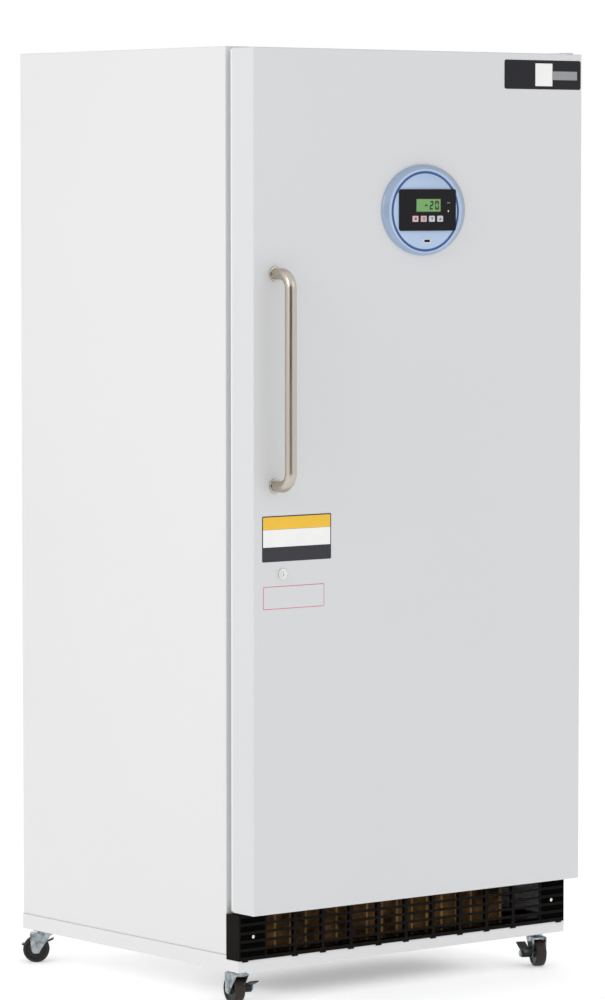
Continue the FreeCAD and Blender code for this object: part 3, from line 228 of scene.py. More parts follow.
@cache
def relief_group():
    """Fine relief of a surface with its roughness, coarse and fine noise together."""
    tree, start, end = socket_group(
        "fine_relief", "ShaderNodeTree",
        {"Vector": "Vector", "Scale": "Float", "Fine Scale": "Float", "Smooth": "Float", "Rough": "Float"},
        {"Height": "Float", "Roughness": "Float"})
    coarse, fine = noise(tree, start, "Scale", 2), noise(tree, start, "Fine Scale", 1)
    height = add(tree, "ShaderNodeMix", Factor=0.35, A=coarse, B=fine)
    rough = add(tree, "ShaderNodeMapRange", Value=coarse, From_Min=0.3, From_Max=0.7,
                To_Min=start["Smooth"], To_Max=start["Rough"])
    tree.links.new(height.outputs["Result"], end["Height"])
    tree.links.new(rough.outputs["Result"], end["Roughness"])
    return tree


@cache
def finish(name):
    """Material of a row above: a drift of tone, a fine relief and its own range of roughness."""
    colour, smooth, rough, metallic, drift, drift_scale, grain, depth, gloss, *more = FINISHES[name]
    more = dict(*more)
    colour = getattr(bpy.context.scene.freezer_colours, colour) if isinstance(colour, str) else paint(*colour)
    colour = [share * more.get("tone", 1) for share in colour]
    shade = paint(*more["shade"]) if "shade" in more else [share * (1 - drift) for share in colour]
    material = bpy.data.materials.new(name + "_finish")
    material.use_nodes = True
    tree = material.node_tree
    place = add(tree, "ShaderNodeMapping", Scale=more.get("stretch", (1, 1, 1)),
                Vector=tree.nodes.new("ShaderNodeTexCoord").outputs["Object"]).outputs["Vector"]
    tone = add(tree, "ShaderNodeGroup", ("node_tree", tone_group()), Vector=place, Scale=drift_scale,
               Colour=(*colour, 1), Shade=(*shade, 1))
    relief = add(tree, "ShaderNodeGroup", ("node_tree", relief_group()), Vector=place, Scale=grain,
                 Fine_Scale=more.get("fine_grain", 2500), Smooth=smooth, Rough=rough)
    bump = add(tree, "ShaderNodeBump", Distance=depth * MM, Height=relief.outputs["Height"])
    surface = fill(tree.nodes["Principled BSDF"], Base_Color=tone.outputs["Colour"], Metallic=metallic,
                   Roughness=relief.outputs["Roughness"], Normal=bump.outputs["Normal"],
                   Coat_Weight=more.get("coat", 0), Specular_IOR_Level=gloss)
    if "glow" in more:
        fill(surface, Emission_Color=(*colour, 1), Emission_Strength=more["glow"])
    return material


# Shapes


def placed(name, data):
    """New object in the scene."""
    thing = bpy.data.objects.new(name, data)
    bpy.context.scene.collection.objects.link(thing)
    return thing


def new_piece(name, mesh, body, slot, *coats):
    """A finished mesh as a piece that rides on a body."""
    piece = placed(name, mesh)
    for coat in coats:
        mesh.materials.append(finish(coat))
    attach(piece, body)
    return piece


def soften(mesh, angle=32):
    """Smooth shading apart from the edges sharper than the angle."""
    mesh.shade_smooth()
    mesh.set_sharp_from_angle(angle=math.radians(angle))
    return mesh


def settle(piece):
    """Turns a piece's modifiers into plain mesh."""
    bpy.context.view_layer.update()
    mesh = bpy.data.meshes.new_from_object(piece.evaluated_get(bpy.context.evaluated_depsgraph_get()))
    piece.modifiers.clear()
    piece.data = mesh
    return mesh


def dressed(node, coat, slot, edge=None, segments=2):
    """Copy of a CAD node with clean faces and rounded edges, shown in the node's place."""
    weld, flat, sharp = 0.004 * MM, math.radians(0.4), math.radians(34)
    shape = bmesh.new()
    shape.from_mesh(frame["nodes"][node].data)
    bmesh.ops.remove_doubles(shape, verts=shape.verts, dist=weld)
    bmesh.ops.dissolve_limit(shape, angle_limit=flat, verts=shape.verts, edges=shape.edges)
    mesh = bpy.data.meshes.new(node + "_dressed")
    shape.to_mesh(mesh)
    shape.free()
    piece = new_piece(node + "_dressed", soften(mesh), HOME[node], slot, coat)
    bevel = piece.modifiers.new("edge", "BEVEL")
    bevel.width = edge or sizes().sheet_edge
    bevel.segments = segments
    bevel.limit_method = "ANGLE"
    bevel.angle_limit = sharp
    even = piece.modifiers.new("even", "WEIGHTED_NORMAL")
    even.keep_sharp = False
    even.weight = 100
    settle(piece)
    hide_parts(node)
    return piece


def give(coat, *nodes):
    """Puts a finish on CAD nodes that are shown as they are."""
    for node in nodes:
        materials = frame["nodes"][node].data.materials
        materials.clear()
        materials.append(finish(coat))


def mesh_of(name, points, faces):
    """Mesh from points in metres, with its faces turned outwards."""
    mesh = bpy.data.meshes.new(name)
    mesh.from_pydata([tuple(p) for p in points], [], faces)
    shape = bmesh.new()
    shape.from_mesh(mesh)
    bmesh.ops.remove_doubles(shape, verts=shape.verts, dist=0.002 * MM)
    bmesh.ops.recalc_face_normals(shape, faces=shape.faces)
    shape.to_mesh(mesh)
    shape.free()
    return mesh


def joined_mesh(name, meshes):
    """One mesh from several."""
    shape = bmesh.new()
    for mesh in meshes:
        shape.from_mesh(mesh)
    mesh = bpy.data.meshes.new(name)
    shape.to_mesh(mesh)
    shape.free()
    return mesh


def block(low, high):
    """Box mesh between two corners."""
    points = [(x, y, z) for x in (low[0], high[0]) for y in (low[1], high[1]) for z in (low[2], high[2])]
    faces = [(0, 1, 3, 2), (4, 6, 7, 5), (0, 4, 5, 1), (2, 3, 7, 6), (0, 2, 6, 4), (1, 5, 7, 3)]
    return mesh_of("block", points, faces)


def turns(sides):
    """Cosine and sine of even steps round a circle."""
    angles = [2 * math.pi * side / sides for side in range(sides)]
    return [(math.cos(angle), math.sin(angle)) for angle in angles]


def ringed(name, points, sides, closed=False):
    """Mesh over rings of points, closed into a loop or capped at both ends."""
    rings = len(points) // sides
    faces = []
    for ring in range(rings if closed else rings - 1):
        here, there = ring * sides, (ring + 1) % rings * sides
        for side in range(sides):
            after = (side + 1) % sides
            faces.append((here + side, here + after, there + after, there + side))
    if not closed:
        faces += [tuple(range(sides)), tuple(range((rings - 1) * sides, rings * sides))]
    return mesh_of(name, points, faces)


def rounded_outline(width, height, radius, steps=6):
    """Points of a rectangle with round corners, centred on the origin."""
    points = []
    for turn, (sx, sz) in enumerate(((1, 1), (-1, 1), (-1, -1), (1, -1))):
        cx, cz = sx * (width / 2 - radius), sz * (height / 2 - radius)
        for step in range(steps + 1):
            angle = math.radians(90 * turn + 90 * step / steps)
            points.append((cx + radius * math.cos(angle), cz + radius * math.sin(angle)))
    return points


def plate(name, centre, width, height, thickness, radius, edge):
    """Thin rounded plate facing the front; its back lies at the centre's depth."""
    x, y, z = centre
    points = []
    for depth, inset in ((0, 0), (thickness - edge, 0), (thickness, edge)):
        outline = rounded_outline(width - 2 * inset, height - 2 * inset, max(radius - inset, 0.05 * MM))
        points += [(x + px, y - depth, z + pz) for px, pz in outline]
    return ringed(name, points, len(outline))


def disc(name, centre, axis, profile, sides=48, closed=False):
    """Turned piece: the profile is a list of (distance along the axis, radius), closed for a ring."""
    axis = Vector(axis).normalized()
    across = axis.orthogonal().normalized()
    other = axis.cross(across)
    points = [Vector(centre) + axis * along + (across * cos + other * sin) * radius
              for along, radius in profile for cos, sin in turns(sides)]
    return ringed(name, points, sides, closed)


def bent_path(stops, bend, steps):
    """Points along straight runs joined by arcs."""
    stops = [Vector(p) for p in stops]
    path = [stops[0]]
    for before, corner, after in zip(stops, stops[1:], stops[2:]):
        into, out = (corner - before).normalized(), (after - corner).normalized()
        half = into.angle(out) / 2
        reach = bend * math.tan(half)
        centre = corner + (out - into).normalized() * (bend / math.cos(half))
        start, end = corner - into * reach - centre, corner + out * reach - centre
        start, end = start.normalized(), end.normalized()
        path += [centre + start.slerp(end, step / steps) * bend for step in range(steps + 1)]
    path.append(stops[-1])
    return path


def tube(name, path, radius, sides, closed=False):
    """Round tube along a path, closed into a loop or capped at both ends."""
    points = []
    up = None
    for index, place in enumerate(path):
        before = path[index - 1] if index or closed else place
        after = path[(index + 1) % len(path)] if index + 1 < len(path) or closed else place
        along = (after - before).normalized()
        up = along.orthogonal() if up is None else up - along * up.dot(along)
        up.normalize()
        side = along.cross(up)
        points += [place + (up * cos + side * sin) * radius for cos, sin in turns(sides)]
    return ringed(name, points, sides, closed)


@cache
def grid_tree():
    """Repeats the piece's own mesh in a grid of rows and columns, then makes it one real mesh."""
    tree, start, end = socket_group(
        "repeat_in_grid", "GeometryNodeTree",
        {"Geometry": "Geometry", "Columns": "Int", "Column Step": "Vector", "Rows": "Int",
         "Row Step": "Vector", "Material": "Material"}, {"Geometry": "Geometry"})
    tree.is_modifier = True
    shape = start["Geometry"]
    for count, step in (("Columns", "Column Step"), ("Rows", "Row Step")):
        line = add(tree, "GeometryNodeMeshLine", Count=start[count], Offset=start[step])
        copies = add(tree, "GeometryNodeInstanceOnPoints", Points=line.outputs["Mesh"], Instance=shape)
        real = add(tree, "GeometryNodeRealizeInstances", Geometry=copies.outputs["Instances"])
        shape = real.outputs["Geometry"]
    coat = add(tree, "GeometryNodeSetMaterial", Geometry=shape, Material=start["Material"])
    tree.links.new(coat.outputs["Geometry"], end["Geometry"])
    return tree


def repeated(name, unit, coat, slot, columns, column_step, rows=1, row_step=(0, 0, 0)):
    """Grid of copies of a unit mesh, as one plain mesh that rides on the cabinet."""
    tree = grid_tree()
    piece = new_piece(name, unit, "cabinet", slot, coat)
    modifier = piece.modifiers.new("repeat", "NODES")
    modifier.node_group = tree
    sockets = {item.name: item.identifier for item in tree.interface.items_tree if item.in_out == "INPUT"}
    for label, value in (("Columns", columns), ("Column Step", column_step), ("Rows", rows),
                         ("Row Step", row_step), ("Material", finish(coat))):
        modifier[sockets[label]] = value
    soften(settle(piece))
    return piece


# Where the CAD puts things


def middle(node):
    """Centre of a CAD node's box."""
    low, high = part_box(node)
    return (low + high) / 2


DOOR_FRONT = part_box("door_skin")[0].y
BEZEL_LOW, BEZEL_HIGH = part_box("controller_bezel")
PANEL = middle("controller_bezel")


# Pieces


class FREEZER_OT_cabinet(bpy.types.Operator):
    """Paint the cabinet and its base, and dress the back"""
    bl_idname = "freezer.cabinet"
    bl_label = "Cabinet"

    def execute(self, context):
        dressed("outer_cabinet", "cabinet_paint", "cabinet_paint")
        dressed("base_frame", "cabinet_paint", "base_paint")
        give("galvanised_sheet", "back_panel")
        dressed("rear_cover", "galvanised_sheet", "galvanised", 0.4 * MM)
        give("foam", *[node for node in HOME if node.endswith("_insulation")])
        give("white_liner", "inner_liner")
        self.riser()
        dressed("breaker_frame", "white_plastic", "breaker_white", sizes().moulded_edge)
        dressed("hinge_brackets", "cabinet_paint", "hinge_steel", 0.5 * MM)
        dressed("probe_sleeve", "white_plastic", "sleeve_plastic", 0.6 * MM)
        dressed("cord_gland", "black_plastic", "black_plastic", 0.5 * MM)
        return {"FINISHED"}

    def riser(self):
        """Upright face of the liner's step over the machine bay, just in front of the foam."""
        sheet, gap = 1.5 * MM, 0.02 * MM
        low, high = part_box("inner_liner")
        corners = [vertex.co for vertex in frame["nodes"]["floor_insulation"].data.vertices]
        top = max(corner.z for corner in corners)
        face = min(corner.y for corner in corners if corner.z > top - sheet / 2)
        mesh = block((low.x + sheet, face - 0.8 * sheet, low.z + sheet),
                     (high.x - sheet, face - gap, top + 0.98 * sheet))
        new_piece("liner_riser", mesh, "cabinet", "liner_white", "white_liner")


class FREEZER_OT_rear_screws(bpy.types.Operator):
    """Fix the rear cover and the back panel with domed screws"""
    bl_idname = "freezer.rear_screws"
    bl_label = "Rear screws"

    def execute(self, context):
        self.grid("cover_screws", "rear_cover", 12 * MM, 5, 2)
        self.grid("panel_screws", "back_panel", 10 * MM, 2, 6)
        return {"FINISHED"}

    def grid(self, name, sheet, inset, columns, rows):
        """Screws in columns and rows, up to the edge of a rear sheet."""
        low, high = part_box(sheet)
        head = 0.9 * MM
        start = (low.x + inset, high.y - 0.2 * MM, low.z + inset)
        unit = disc("screw", start, (0, 1, 0), [(0, 4 * MM), (head * 0.5, 3.8 * MM), (head, 2.4 * MM),
                                                (head, 1.2 * MM), (head * 0.4, 1.0 * MM)], 16)
        across, up = high.x - low.x - 2 * inset, high.z - low.z - 2 * inset
        repeated(name, unit, "zinc_plate", "screw_steel", columns, (across / (columns - 1), 0, 0),
                 rows, (0, 0, up / (rows - 1)))


class FREEZER_OT_door(bpy.types.Operator):
    """Paint the door and dress its liner and seal"""
    bl_idname = "freezer.door"
    bl_label = "Door"

    def execute(self, context):
        dressed("door_skin", "door_paint", "door_paint", 0.3 * MM)
        dressed("door_liner", "white_liner", "liner_white", 1.2 * MM, 3)
        dressed("door_gasket", "soft_gasket", "gasket", 0.8 * MM)
        give("white_plastic", "hinge_bushes")
        return {"FINISHED"}


class FREEZER_OT_handle(bpy.types.Operator):
    """Bend the brushed handle and set its collars on the door"""
    bl_idname = "freezer.handle"
    bl_label = "Handle"

    def execute(self, context):
        low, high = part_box("door_handle")
        x = (low.x + high.x) / 2
        collar = (high.x - low.x) / 2
        radius = collar * 12.5 / 16
        top, bottom, out = high.z - collar, low.z + collar, low.y + radius
        stops = [(x, DOOR_FRONT, top), (x, out, top), (x, out, bottom), (x, DOOR_FRONT, bottom)]
        bar = tube("bar", bent_path(stops, 32 * MM, 20), radius, 48)
        length, edge = 4 * MM, 1.2 * MM
        profile = [(0, collar), (length - edge, collar), (length - edge * 0.3, collar - edge * 0.3),
                   (length, collar - edge), (length, radius * 0.9)]
        collars = [disc("collar", (x, DOOR_FRONT, z), (0, -1, 0), profile) for z in (top, bottom)]
        mesh = soften(joined_mesh("door_handle_tube", [bar, *collars]), 50)
        piece = new_piece("door_handle_tube", mesh, "door", "handle_steel", "brushed_steel")
        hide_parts("door_handle")
        return {"FINISHED"}


class FREEZER_OT_lock(bpy.types.Operator):
    """Polish the lock's barrel and plug"""
    bl_idname = "freezer.lock"
    bl_label = "Lock"

    def execute(self, context):
        dressed("lock_body", "polished_steel", "lock_chrome", 0.9 * MM, 3)
        dressed("lock_cylinder", "polished_steel", "lock_chrome", 0.2 * MM)
        return {"FINISHED"}


class FREEZER_OT_panel_surround(bpy.types.Operator):
    """Turn the raised blue surround of the control panel with its line"""
    bl_idname = "freezer.panel_surround"
    bl_label = "Panel surround"
    sides = 160

    def execute(self, context):
        depth = BEZEL_HIGH.y - BEZEL_LOW.y
        outer = (BEZEL_HIGH - BEZEL_LOW) / 2
        inner = outer - Vector((22.5, 0, 11.2)) * MM
        shift = Vector((-4.4, 0, -2.9)) * MM
        line, groove, wall = sizes().ring_width, 0.7 * MM, 0.5 * MM
        slope = [(0, 0), (0.06, 0.34), (0.68, 0.92), (0.76, 0.975), (0.84, 1.0)]
        rings = [(outer.lerp(inner, share), shift * share, depth * out) for share, out in slope]
        for inset, out in ((0, depth), (wall, depth - groove), (line, depth - groove), (line + wall, depth)):
            rings.append((inner - Vector((inset, 0, inset)), shift, out))
        points = [(PANEL.x + aside.x + half.x * cos, BEZEL_HIGH.y - out, PANEL.z + aside.z + half.z * sin)
                  for half, aside, out in rings for cos, sin in turns(self.sides)]
        points += self.seat(depth) + self.seat(depth - 6 * MM)
        mesh = ringed("panel_surround", points, self.sides)
        # The steep outer rows take the darker copy of the pale blue, painted shade on the surround's side
        shaded_side_rows, line_rows = range(2), range(len(slope), len(slope) + 3)
        for polygon in mesh.polygons:
            row = polygon.index // self.sides
            polygon.material_index = 2 if row in shaded_side_rows else 1 if row in line_rows else 0
        piece = new_piece("panel_surround", soften(mesh, 60), "door", "bezel_blue",
                          "panel_blue", "panel_line", "panel_side")
        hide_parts("controller_bezel")
        return {"FINISHED"}

    def seat(self, out):
        """Points round the square seat under the controller's case."""
        centre = middle("controller_housing")
        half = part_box("controller_housing")[1] - centre - Vector((3, 0, 3)) * MM
        points = []
        for cos, sin in turns(self.sides):
            reach = min(half.x / max(abs(cos), 1e-6), half.z / max(abs(sin), 1e-6))
            points.append((centre.x + reach * cos, BEZEL_HIGH.y - out, centre.z + reach * sin))
        return points


class FREEZER_OT_controller(bpy.types.Operator):
    """Dress the controller's case, its display with digits, the lamp and the socket"""
    bl_idname = "freezer.controller"
    bl_label = "Controller"

    def execute(self, context):
        dressed("controller_housing", "case_plastic", "controller_black", 1.5 * MM, 3)
        give("lit_display", "display_window")
        self.digits()
        self.border()
        self.marks()
        self.socket()
        return {"FINISHED"}

    def digits(self):
        """A set temperature in the lit window, written from its right end."""
        low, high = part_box("display_window")
        height = (high.z - low.z) * 0.7
        width = height * 0.56
        base = (low.z + high.z) / 2 - height / 2
        right = high.x - 5 * MM - width / 2
        bars = []
        for place, text in enumerate(("0", "2", "-")):
            bars += self.digit(text, right - place * width * 1.42, base, width, height, low.y)
        mesh = soften(joined_mesh("display_digits", bars))
        new_piece("display_digits", mesh, "door", "display_green", "display_ink")

    def digit(self, text, x, base, width, height, y):
        """Bars of one digit, after the usual seven segments."""
        thick = height * 0.18
        top, mid = base + height, base + height / 2
        level = {"a": top - thick / 2, "g": mid, "d": base + thick / 2}
        upright = {"f": (-1, mid), "b": (1, mid), "e": (-1, base), "c": (1, base)}
        made = []
        for bar in {"0": "abcdef", "2": "abged", "-": "g"}[text]:
            if bar in level:
                centre, wide, tall = (x, y, level[bar]), width - thick * 0.9, thick
            else:
                side, low = upright[bar]
                centre = (x + side * (width - thick) / 2, y, low + height / 4)
                wide, tall = thick, height / 2 - thick * 0.5
            made.append(plate("bar", centre, wide, tall, 0.06 * MM, thick * 0.3, 0.01 * MM))
        return made

    def border(self):
        """Flat dark frame round the lit window."""
        low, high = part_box("display_window")
        wide, out = 1.2 * MM, 0.25 * MM
        points = []
        for grow, depth in ((wide, 0), (wide, out), (0, out), (0, 0)):
            x0, x1, z0, z1 = low.x - grow, high.x + grow, low.z - grow, high.z + grow
            points += [(x, low.y - depth, z) for x, z in ((x0, z0), (x1, z0), (x1, z1), (x0, z1))]
        mesh = ringed("display_border", points, 4, closed=True)
        new_piece("display_border", mesh, "door", "controller_black", "display_frame")

    def marks(self):
        """Signal lamp and the small pale mark above it."""
        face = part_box("controller_housing")[0].y + 0.02 * MM
        x = PANEL.x + 57 * MM
        dome = disc("signal_lamp", (x, face, PANEL.z - 2.5 * MM), (0, -1, 0),
                    [(-0.5 * MM, 2.0 * MM), (0.3 * MM, 2.0 * MM), (0.9 * MM, 1.3 * MM), (1.1 * MM, 0.4 * MM)], 24)
        new_piece("signal_lamp", soften(dome), "door", None, "signal_lamp")
        dash = plate("pale_mark", (x + 1 * MM, face, PANEL.z + 15.5 * MM), 9 * MM, 2.2 * MM,
                     0.1 * MM, 1.0 * MM, 0.02 * MM)
        new_piece("pale_mark", dash, "door", None, "pale_mark")

    def socket(self):
        """White shell of the data socket with its dark floor and tongue."""
        dressed("data_port", "white_plastic", "port_white", 0.4 * MM)
        low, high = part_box("data_port")
        face = BEZEL_LOW.y - 0.12 * MM
        floor = block((low.x + 1.9 * MM, face, low.z + 1.9 * MM),
                      (high.x - 1.9 * MM, face + 0.1 * MM, high.z - 1.9 * MM))
        new_piece("socket_floor", floor, "door", None, "black_plastic")
        tongue = block((low.x + 3.4 * MM, low.y + 0.25 * MM, low.z + 3.7 * MM),
                       (high.x - 3.4 * MM, face, high.z - 3.4 * MM))
        new_piece("socket_tongue", tongue, "door", None, "case_plastic")


class FREEZER_OT_buttons(bpy.types.Operator):
    """Dress the four push buttons with a plain sign on each"""
    bl_idname = "freezer.buttons"
    bl_label = "Buttons"

    def execute(self, context):
        pairs = (("key_rosy", "button_red", "key_red"), ("key_pale", "button_grey", "key_grey"))
        for index in range(1, 5):
            key, slot, ink = pairs[(index - 1) // 2]
            node, name = f"controller_button_{index}", f"key_sign_{index}"
            dressed(node, key, slot, 0.35 * MM)
            sign = self.sign(index, middle(node).x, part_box(node)[0].y, middle(node).z)
            new_piece(name, joined_mesh(name, sign), HOME[node], None, ink)
        return {"FINISHED"}

    def sign(self, index, x, y, z):
        """A dot, three bars, and a triangle up or down."""
        thick, edge = 0.12 * MM, 0.02 * MM
        if index == 1:
            return [plate("dot", (x, y, z), 6.4 * MM, 6.4 * MM, thick, 3.1 * MM, edge)]
        if index == 2:
            return [plate("bar", (x, y, z + step * 2.6 * MM), 8 * MM, 1.5 * MM, thick, 0.6 * MM, edge)
                    for step in (-1, 0, 1)]
        half, rise = 4.2 * MM, 3.0 * MM if index == 4 else -3.0 * MM
        points = [(x + px, y - out, z + pz) for out in (0, thick)
                  for px, pz in ((-half, -rise), (half, -rise), (0, rise))]
        return [ringed("arrow", points, 3)]


# Each plain plate on the door, in mm: its finish, its place from the door's middle and from the floor, width,
# height, how far its back stands out from the door, thickness, radius of its corners, rounding of its edge
PLATES = {
    "banded_plate": ("plate_slate", -346.5, 1011.4, 188, 98, 0.02, 0.35, 3, 0.15),
    "band_yellow": ("plate_yellow", -346.5, 1044.72, 183, 26.46, 0.37, 0.12, 0.6, 0.03),
    "band_white": ("plate_white", -346.5, 1012.38, 183, 37.24, 0.37, 0.12, 0.6, 0.03),
    "outlined_plate": ("plate_red", -354.6, 885.5, 166, 49, 0.02, 0.2, 2, 0.05),
    "outlined_field": ("door_paint", -354.6, 885.5, 163.2, 46.2, 0.22, 0.1, 1, 0.03),
    "dark_plate": ("plate_ink", 348, 2006.3, 224, 64, 0.02, 0.5, 5, 0.15),
    "dark_plate_square": ("plate_white", 351, 2006.3, 49.92, 49.92, 0.52, 0.12, 0.6, 0.03),
    "dark_plate_strip": ("plate_grey", 413, 2004.8, 72, 19, 0.52, 0.12, 0.6, 0.03),
}


class FREEZER_OT_plates(bpy.types.Operator):
    """Stick the plain coloured plates on the door, with nothing printed on them"""
    bl_idname = "freezer.plates"
    bl_label = "Plates"

    def execute(self, context):
        for name, (coat, *row) in PLATES.items():
            x, z, width, height, out, thickness, radius, edge = [value * MM for value in row]
            centre = (middle("door_skin").x + x, DOOR_FRONT - out, z)
            new_piece(name, plate(name, centre, width, height, thickness, radius, edge), "door", None, coat)
        return {"FINISHED"}


class FREEZER_OT_grille(bpy.types.Operator):
    """Dress the moulded grille and its two screws"""
    bl_idname = "freezer.grille"
    bl_label = "Grille"

    def execute(self, context):
        moulding = dressed("grille", "grille_plastic", "grille_plastic", sizes().moulded_edge)
        self.shade_grooves(moulding.data)
        low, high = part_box("grille_screws")
        radius = (high.z - low.z) / 2
        profile = [(out * radius, share * radius) for out, share in
                   ((0, 1), (0.2, 0.96), (0.38, 0.7), (0.46, 0.35), (0.2, 0.22))]
        heads = [disc("screw", (x, high.y, low.z + radius), (0, -1, 0), profile, 32)
                 for x in (low.x + radius, high.x - radius)]
        mesh = soften(joined_mesh("grille_screw_heads", heads), 40)
        piece = new_piece("grille_screw_heads", mesh, "cabinet", "screw_steel", "polished_steel")
        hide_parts("grille_screws")
        return {"FINISHED"}

    def shade_grooves(self, mesh):
        """Darker floors in the grooves of the grille's ends."""
        mesh.materials.append(finish("grille_shadow"))
        floor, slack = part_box("grille")[0].y + 1.5 * MM, 0.4 * MM
        for polygon in mesh.polygons:
            if polygon.normal.y < -0.9 and abs(polygon.center.y - floor) < slack:
                polygon.material_index = 1


class FREEZER_OT_condensing_unit(bpy.types.Operator):
    """Dress the condenser, its fan, the compressor and their copper lines"""
    bl_idname = "freezer.condensing_unit"
    bl_label = "Condensing unit"

    def execute(self, context):
        dressed("condenser_fins", "dusty_fins", "fin_aluminium", 0.2 * MM)
        low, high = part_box("condenser_fins")
        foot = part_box("condenser_coil")[0].z + 2 * MM
        count, inset, thick = sizes().condenser_fins, 6 * MM, 0.15 * MM
        unit = block((low.x + inset, low.y + 0.4 * MM, foot),
                     (low.x + inset + thick, low.y + 4.8 * MM, high.z - 1 * MM))
        repeated("condenser_fin_edges", unit, "dusty_fins", "fin_aluminium", count,
                 ((high.x - low.x - 2 * inset) / (count - 1), 0, 0))
        dressed("condenser_coil", "copper_tube", "copper", 0.1 * MM)
        dressed("refrigerant_lines", "copper_tube", "copper", 0.1 * MM)
        # The shroud's galvanised sheet is painted dark grey, painted shade for the dim machine bay
        dressed("fan_shroud", "dark_sheet", "galvanised", 0.4 * MM)
        dressed("condenser_fan", "fan_plastic", "fan_plastic", 0.4 * MM)
        dressed("fan_motor", "black_enamel", "black_steel", 1.0 * MM, 3)
        dressed("compressor", "black_enamel", "black_steel", 3.0 * MM, 4)
        dressed("compressor_mounts", "wheel_rubber", "rubber", 1.0 * MM)
        return {"FINISHED"}


class FREEZER_OT_cooling_unit(bpy.types.Operator):
    """Dress the evaporator's housing and its fan"""
    bl_idname = "freezer.cooling_unit"
    bl_label = "Cooling unit"

    def execute(self, context):
        dressed("evaporator_cover", "aluminium_sheet", "evaporator_metal", 0.6 * MM)
        dressed("evaporator_fan", "fan_plastic", "fan_plastic", 0.4 * MM)
        return {"FINISHED"}


class FREEZER_OT_shelves(bpy.types.Operator):
    """Weld the round wires of the shelves on their rims, and dress the standards with painted shade for their slots"""
    bl_idname = "freezer.shelves"
    bl_label = "Shelves"

    def execute(self, context):
        dressed("shelf_pilasters", "coated_wire", "shelf_metal", 0.3 * MM)
        self.slots()
        for index in range(1, 5):
            self.shelf(f"shelf_{index}")
        return {"FINISHED"}

    def shelf(self, node):
        """Round rim and cross bars under a row of thin wires."""
        low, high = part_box(node)
        wire = sizes().wire_radius
        bar = (high.z - low.z - 2 * wire) / 2
        z, top = low.z + bar, high.z - wire
        x0, x1, y0, y1 = low.x + bar, high.x - bar, low.y + bar, high.y - bar
        x = (x0 + x1) / 2
        stops = [(x, y0, z), (x1, y0, z), (x1, y1, z), (x0, y1, z), (x0, y0, z), (x, y0, z)]
        parts = [tube("rim", bent_path(stops, 16 * MM, 8)[:-1], bar, 14, closed=True)]
        for share in (0.25, 0.5, 0.75):
            y = y0 + (y1 - y0) * share
            parts.append(tube("bar", [Vector((x0, y, z)), Vector((x1, y, z))], bar * 0.8, 12))
        mesh = soften(joined_mesh(f"{node}_rim", parts), 50)
        rim = new_piece(f"{node}_rim", mesh, "cabinet", "shelf_metal", "coated_wire")
        count, inset = sizes().shelf_wires, 14 * MM
        unit = tube("wire", [Vector((x0 + inset, y, top)) for y in (y0, y1)], wire, 10)
        wires = repeated(f"{node}_wires", unit, "coated_wire", "shelf_metal", count,
                         ((x1 - x0 - 2 * inset) / (count - 1), 0, 0))
        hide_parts(node)
        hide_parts(node)

    def slots(self):
        """Dark patches down the face of each standard, painted shade standing for its slots."""
        low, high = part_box("shelf_pilasters")
        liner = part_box("inner_liner")
        pitch, margin, depth = 25 * MM, 15 * MM, 6.55 * MM
        rows = int((high.z - low.z - 2 * margin) // pitch)
        for name, inwards, wall in (("left", 1, liner[0].x), ("right", -1, liner[1].x)):
            face = wall + inwards * depth
            x0, x1 = sorted((face, face - inwards * 0.3 * MM))
            for place, y in (("front", low.y + 8 * MM), ("back", high.y - 8 * MM)):
                unit = block((x0, y - 2 * MM, low.z + margin), (x1, y + 2 * MM, low.z + margin + 12 * MM))
                repeated(f"standard_slots_{place}_{name}", unit, "slot_dark", "shelf_metal", rows, (0, 0, pitch))


class FREEZER_OT_casters(bpy.types.Operator):
    """Dress the four swivel casters with their wheels and brake levers"""
    bl_idname = "freezer.casters"
    bl_label = "Casters"

    def execute(self, context):
        dressed("caster_mounts", "black_plastic", "caster_zinc", 0.6 * MM)
        for corner in ("front_left", "front_right", "back_left", "back_right"):
            joint = JOINTS[f"roll_{corner}"]
            centre, axis = Vector(joint["pos_m"]), Vector(joint["axis"]).normalized()
            dressed(f"caster_fork_{corner}", "zinc_plate", "caster_zinc", 0.7 * MM)
            self.wheel(f"caster_wheel_{corner}", centre, axis)
            dressed(f"caster_brake_{corner}", "black_plastic", "lever_black", 0.8 * MM)
            self.axle_nut(corner, centre + axis * 16.45 * MM, axis)
        return {"FINISHED"}

    def axle_nut(self, corner, start, axis):
        """Low hexagon nut on the fork's leg, on the side without the lever."""
        washer = disc("washer", start, axis, [(0, 8.4 * MM), (0.7 * MM, 8.4 * MM), (0.9 * MM, 8.1 * MM)], 32)
        nut = disc("nut", start, axis, [(0.7 * MM, 6.6 * MM), (3.2 * MM, 6.6 * MM), (3.8 * MM, 5.8 * MM)], 6)
        mesh = soften(joined_mesh(f"axle_nut_{corner}", [washer, nut]), 30)
        new_piece(f"axle_nut_{corner}", mesh, HOME[f"caster_fork_{corner}"], "caster_zinc", "galvanised_sheet")

    def wheel(self, node, centre, axis):
        """Hard rubber tyre with round shoulders on a dished core."""
        low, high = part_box(node)
        radius = (high.z - low.z) / 2
        half, core = radius * 0.4, radius * 0.77
        side = [(1.062, 0.142), (1.062, 0.3), (1, 0.335), (0.8, 0.37), (0.78, 0.7), (0.93, 0.75), (0.985, 0.79),
                (1, 0.84), (0.98, 0.91), (0.9, 0.965), (0.72, 0.995), (0.5, 1)]
        profile = [(half * along, radius * share) for along, share in side]
        profile += [(-along, distance) for along, distance in reversed(profile)]
        mesh = disc(node + "_turned", centre, axis, profile, 72, closed=True)
        for polygon in mesh.polygons:
            away = polygon.center - centre
            polygon.material_index = int((away - axis * away.dot(axis)).length < core)
        piece = new_piece(node + "_turned", soften(mesh, 40), HOME[node], "wheel_black", "wheel_rubber", "wheel_core")
        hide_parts(node)


# Studio


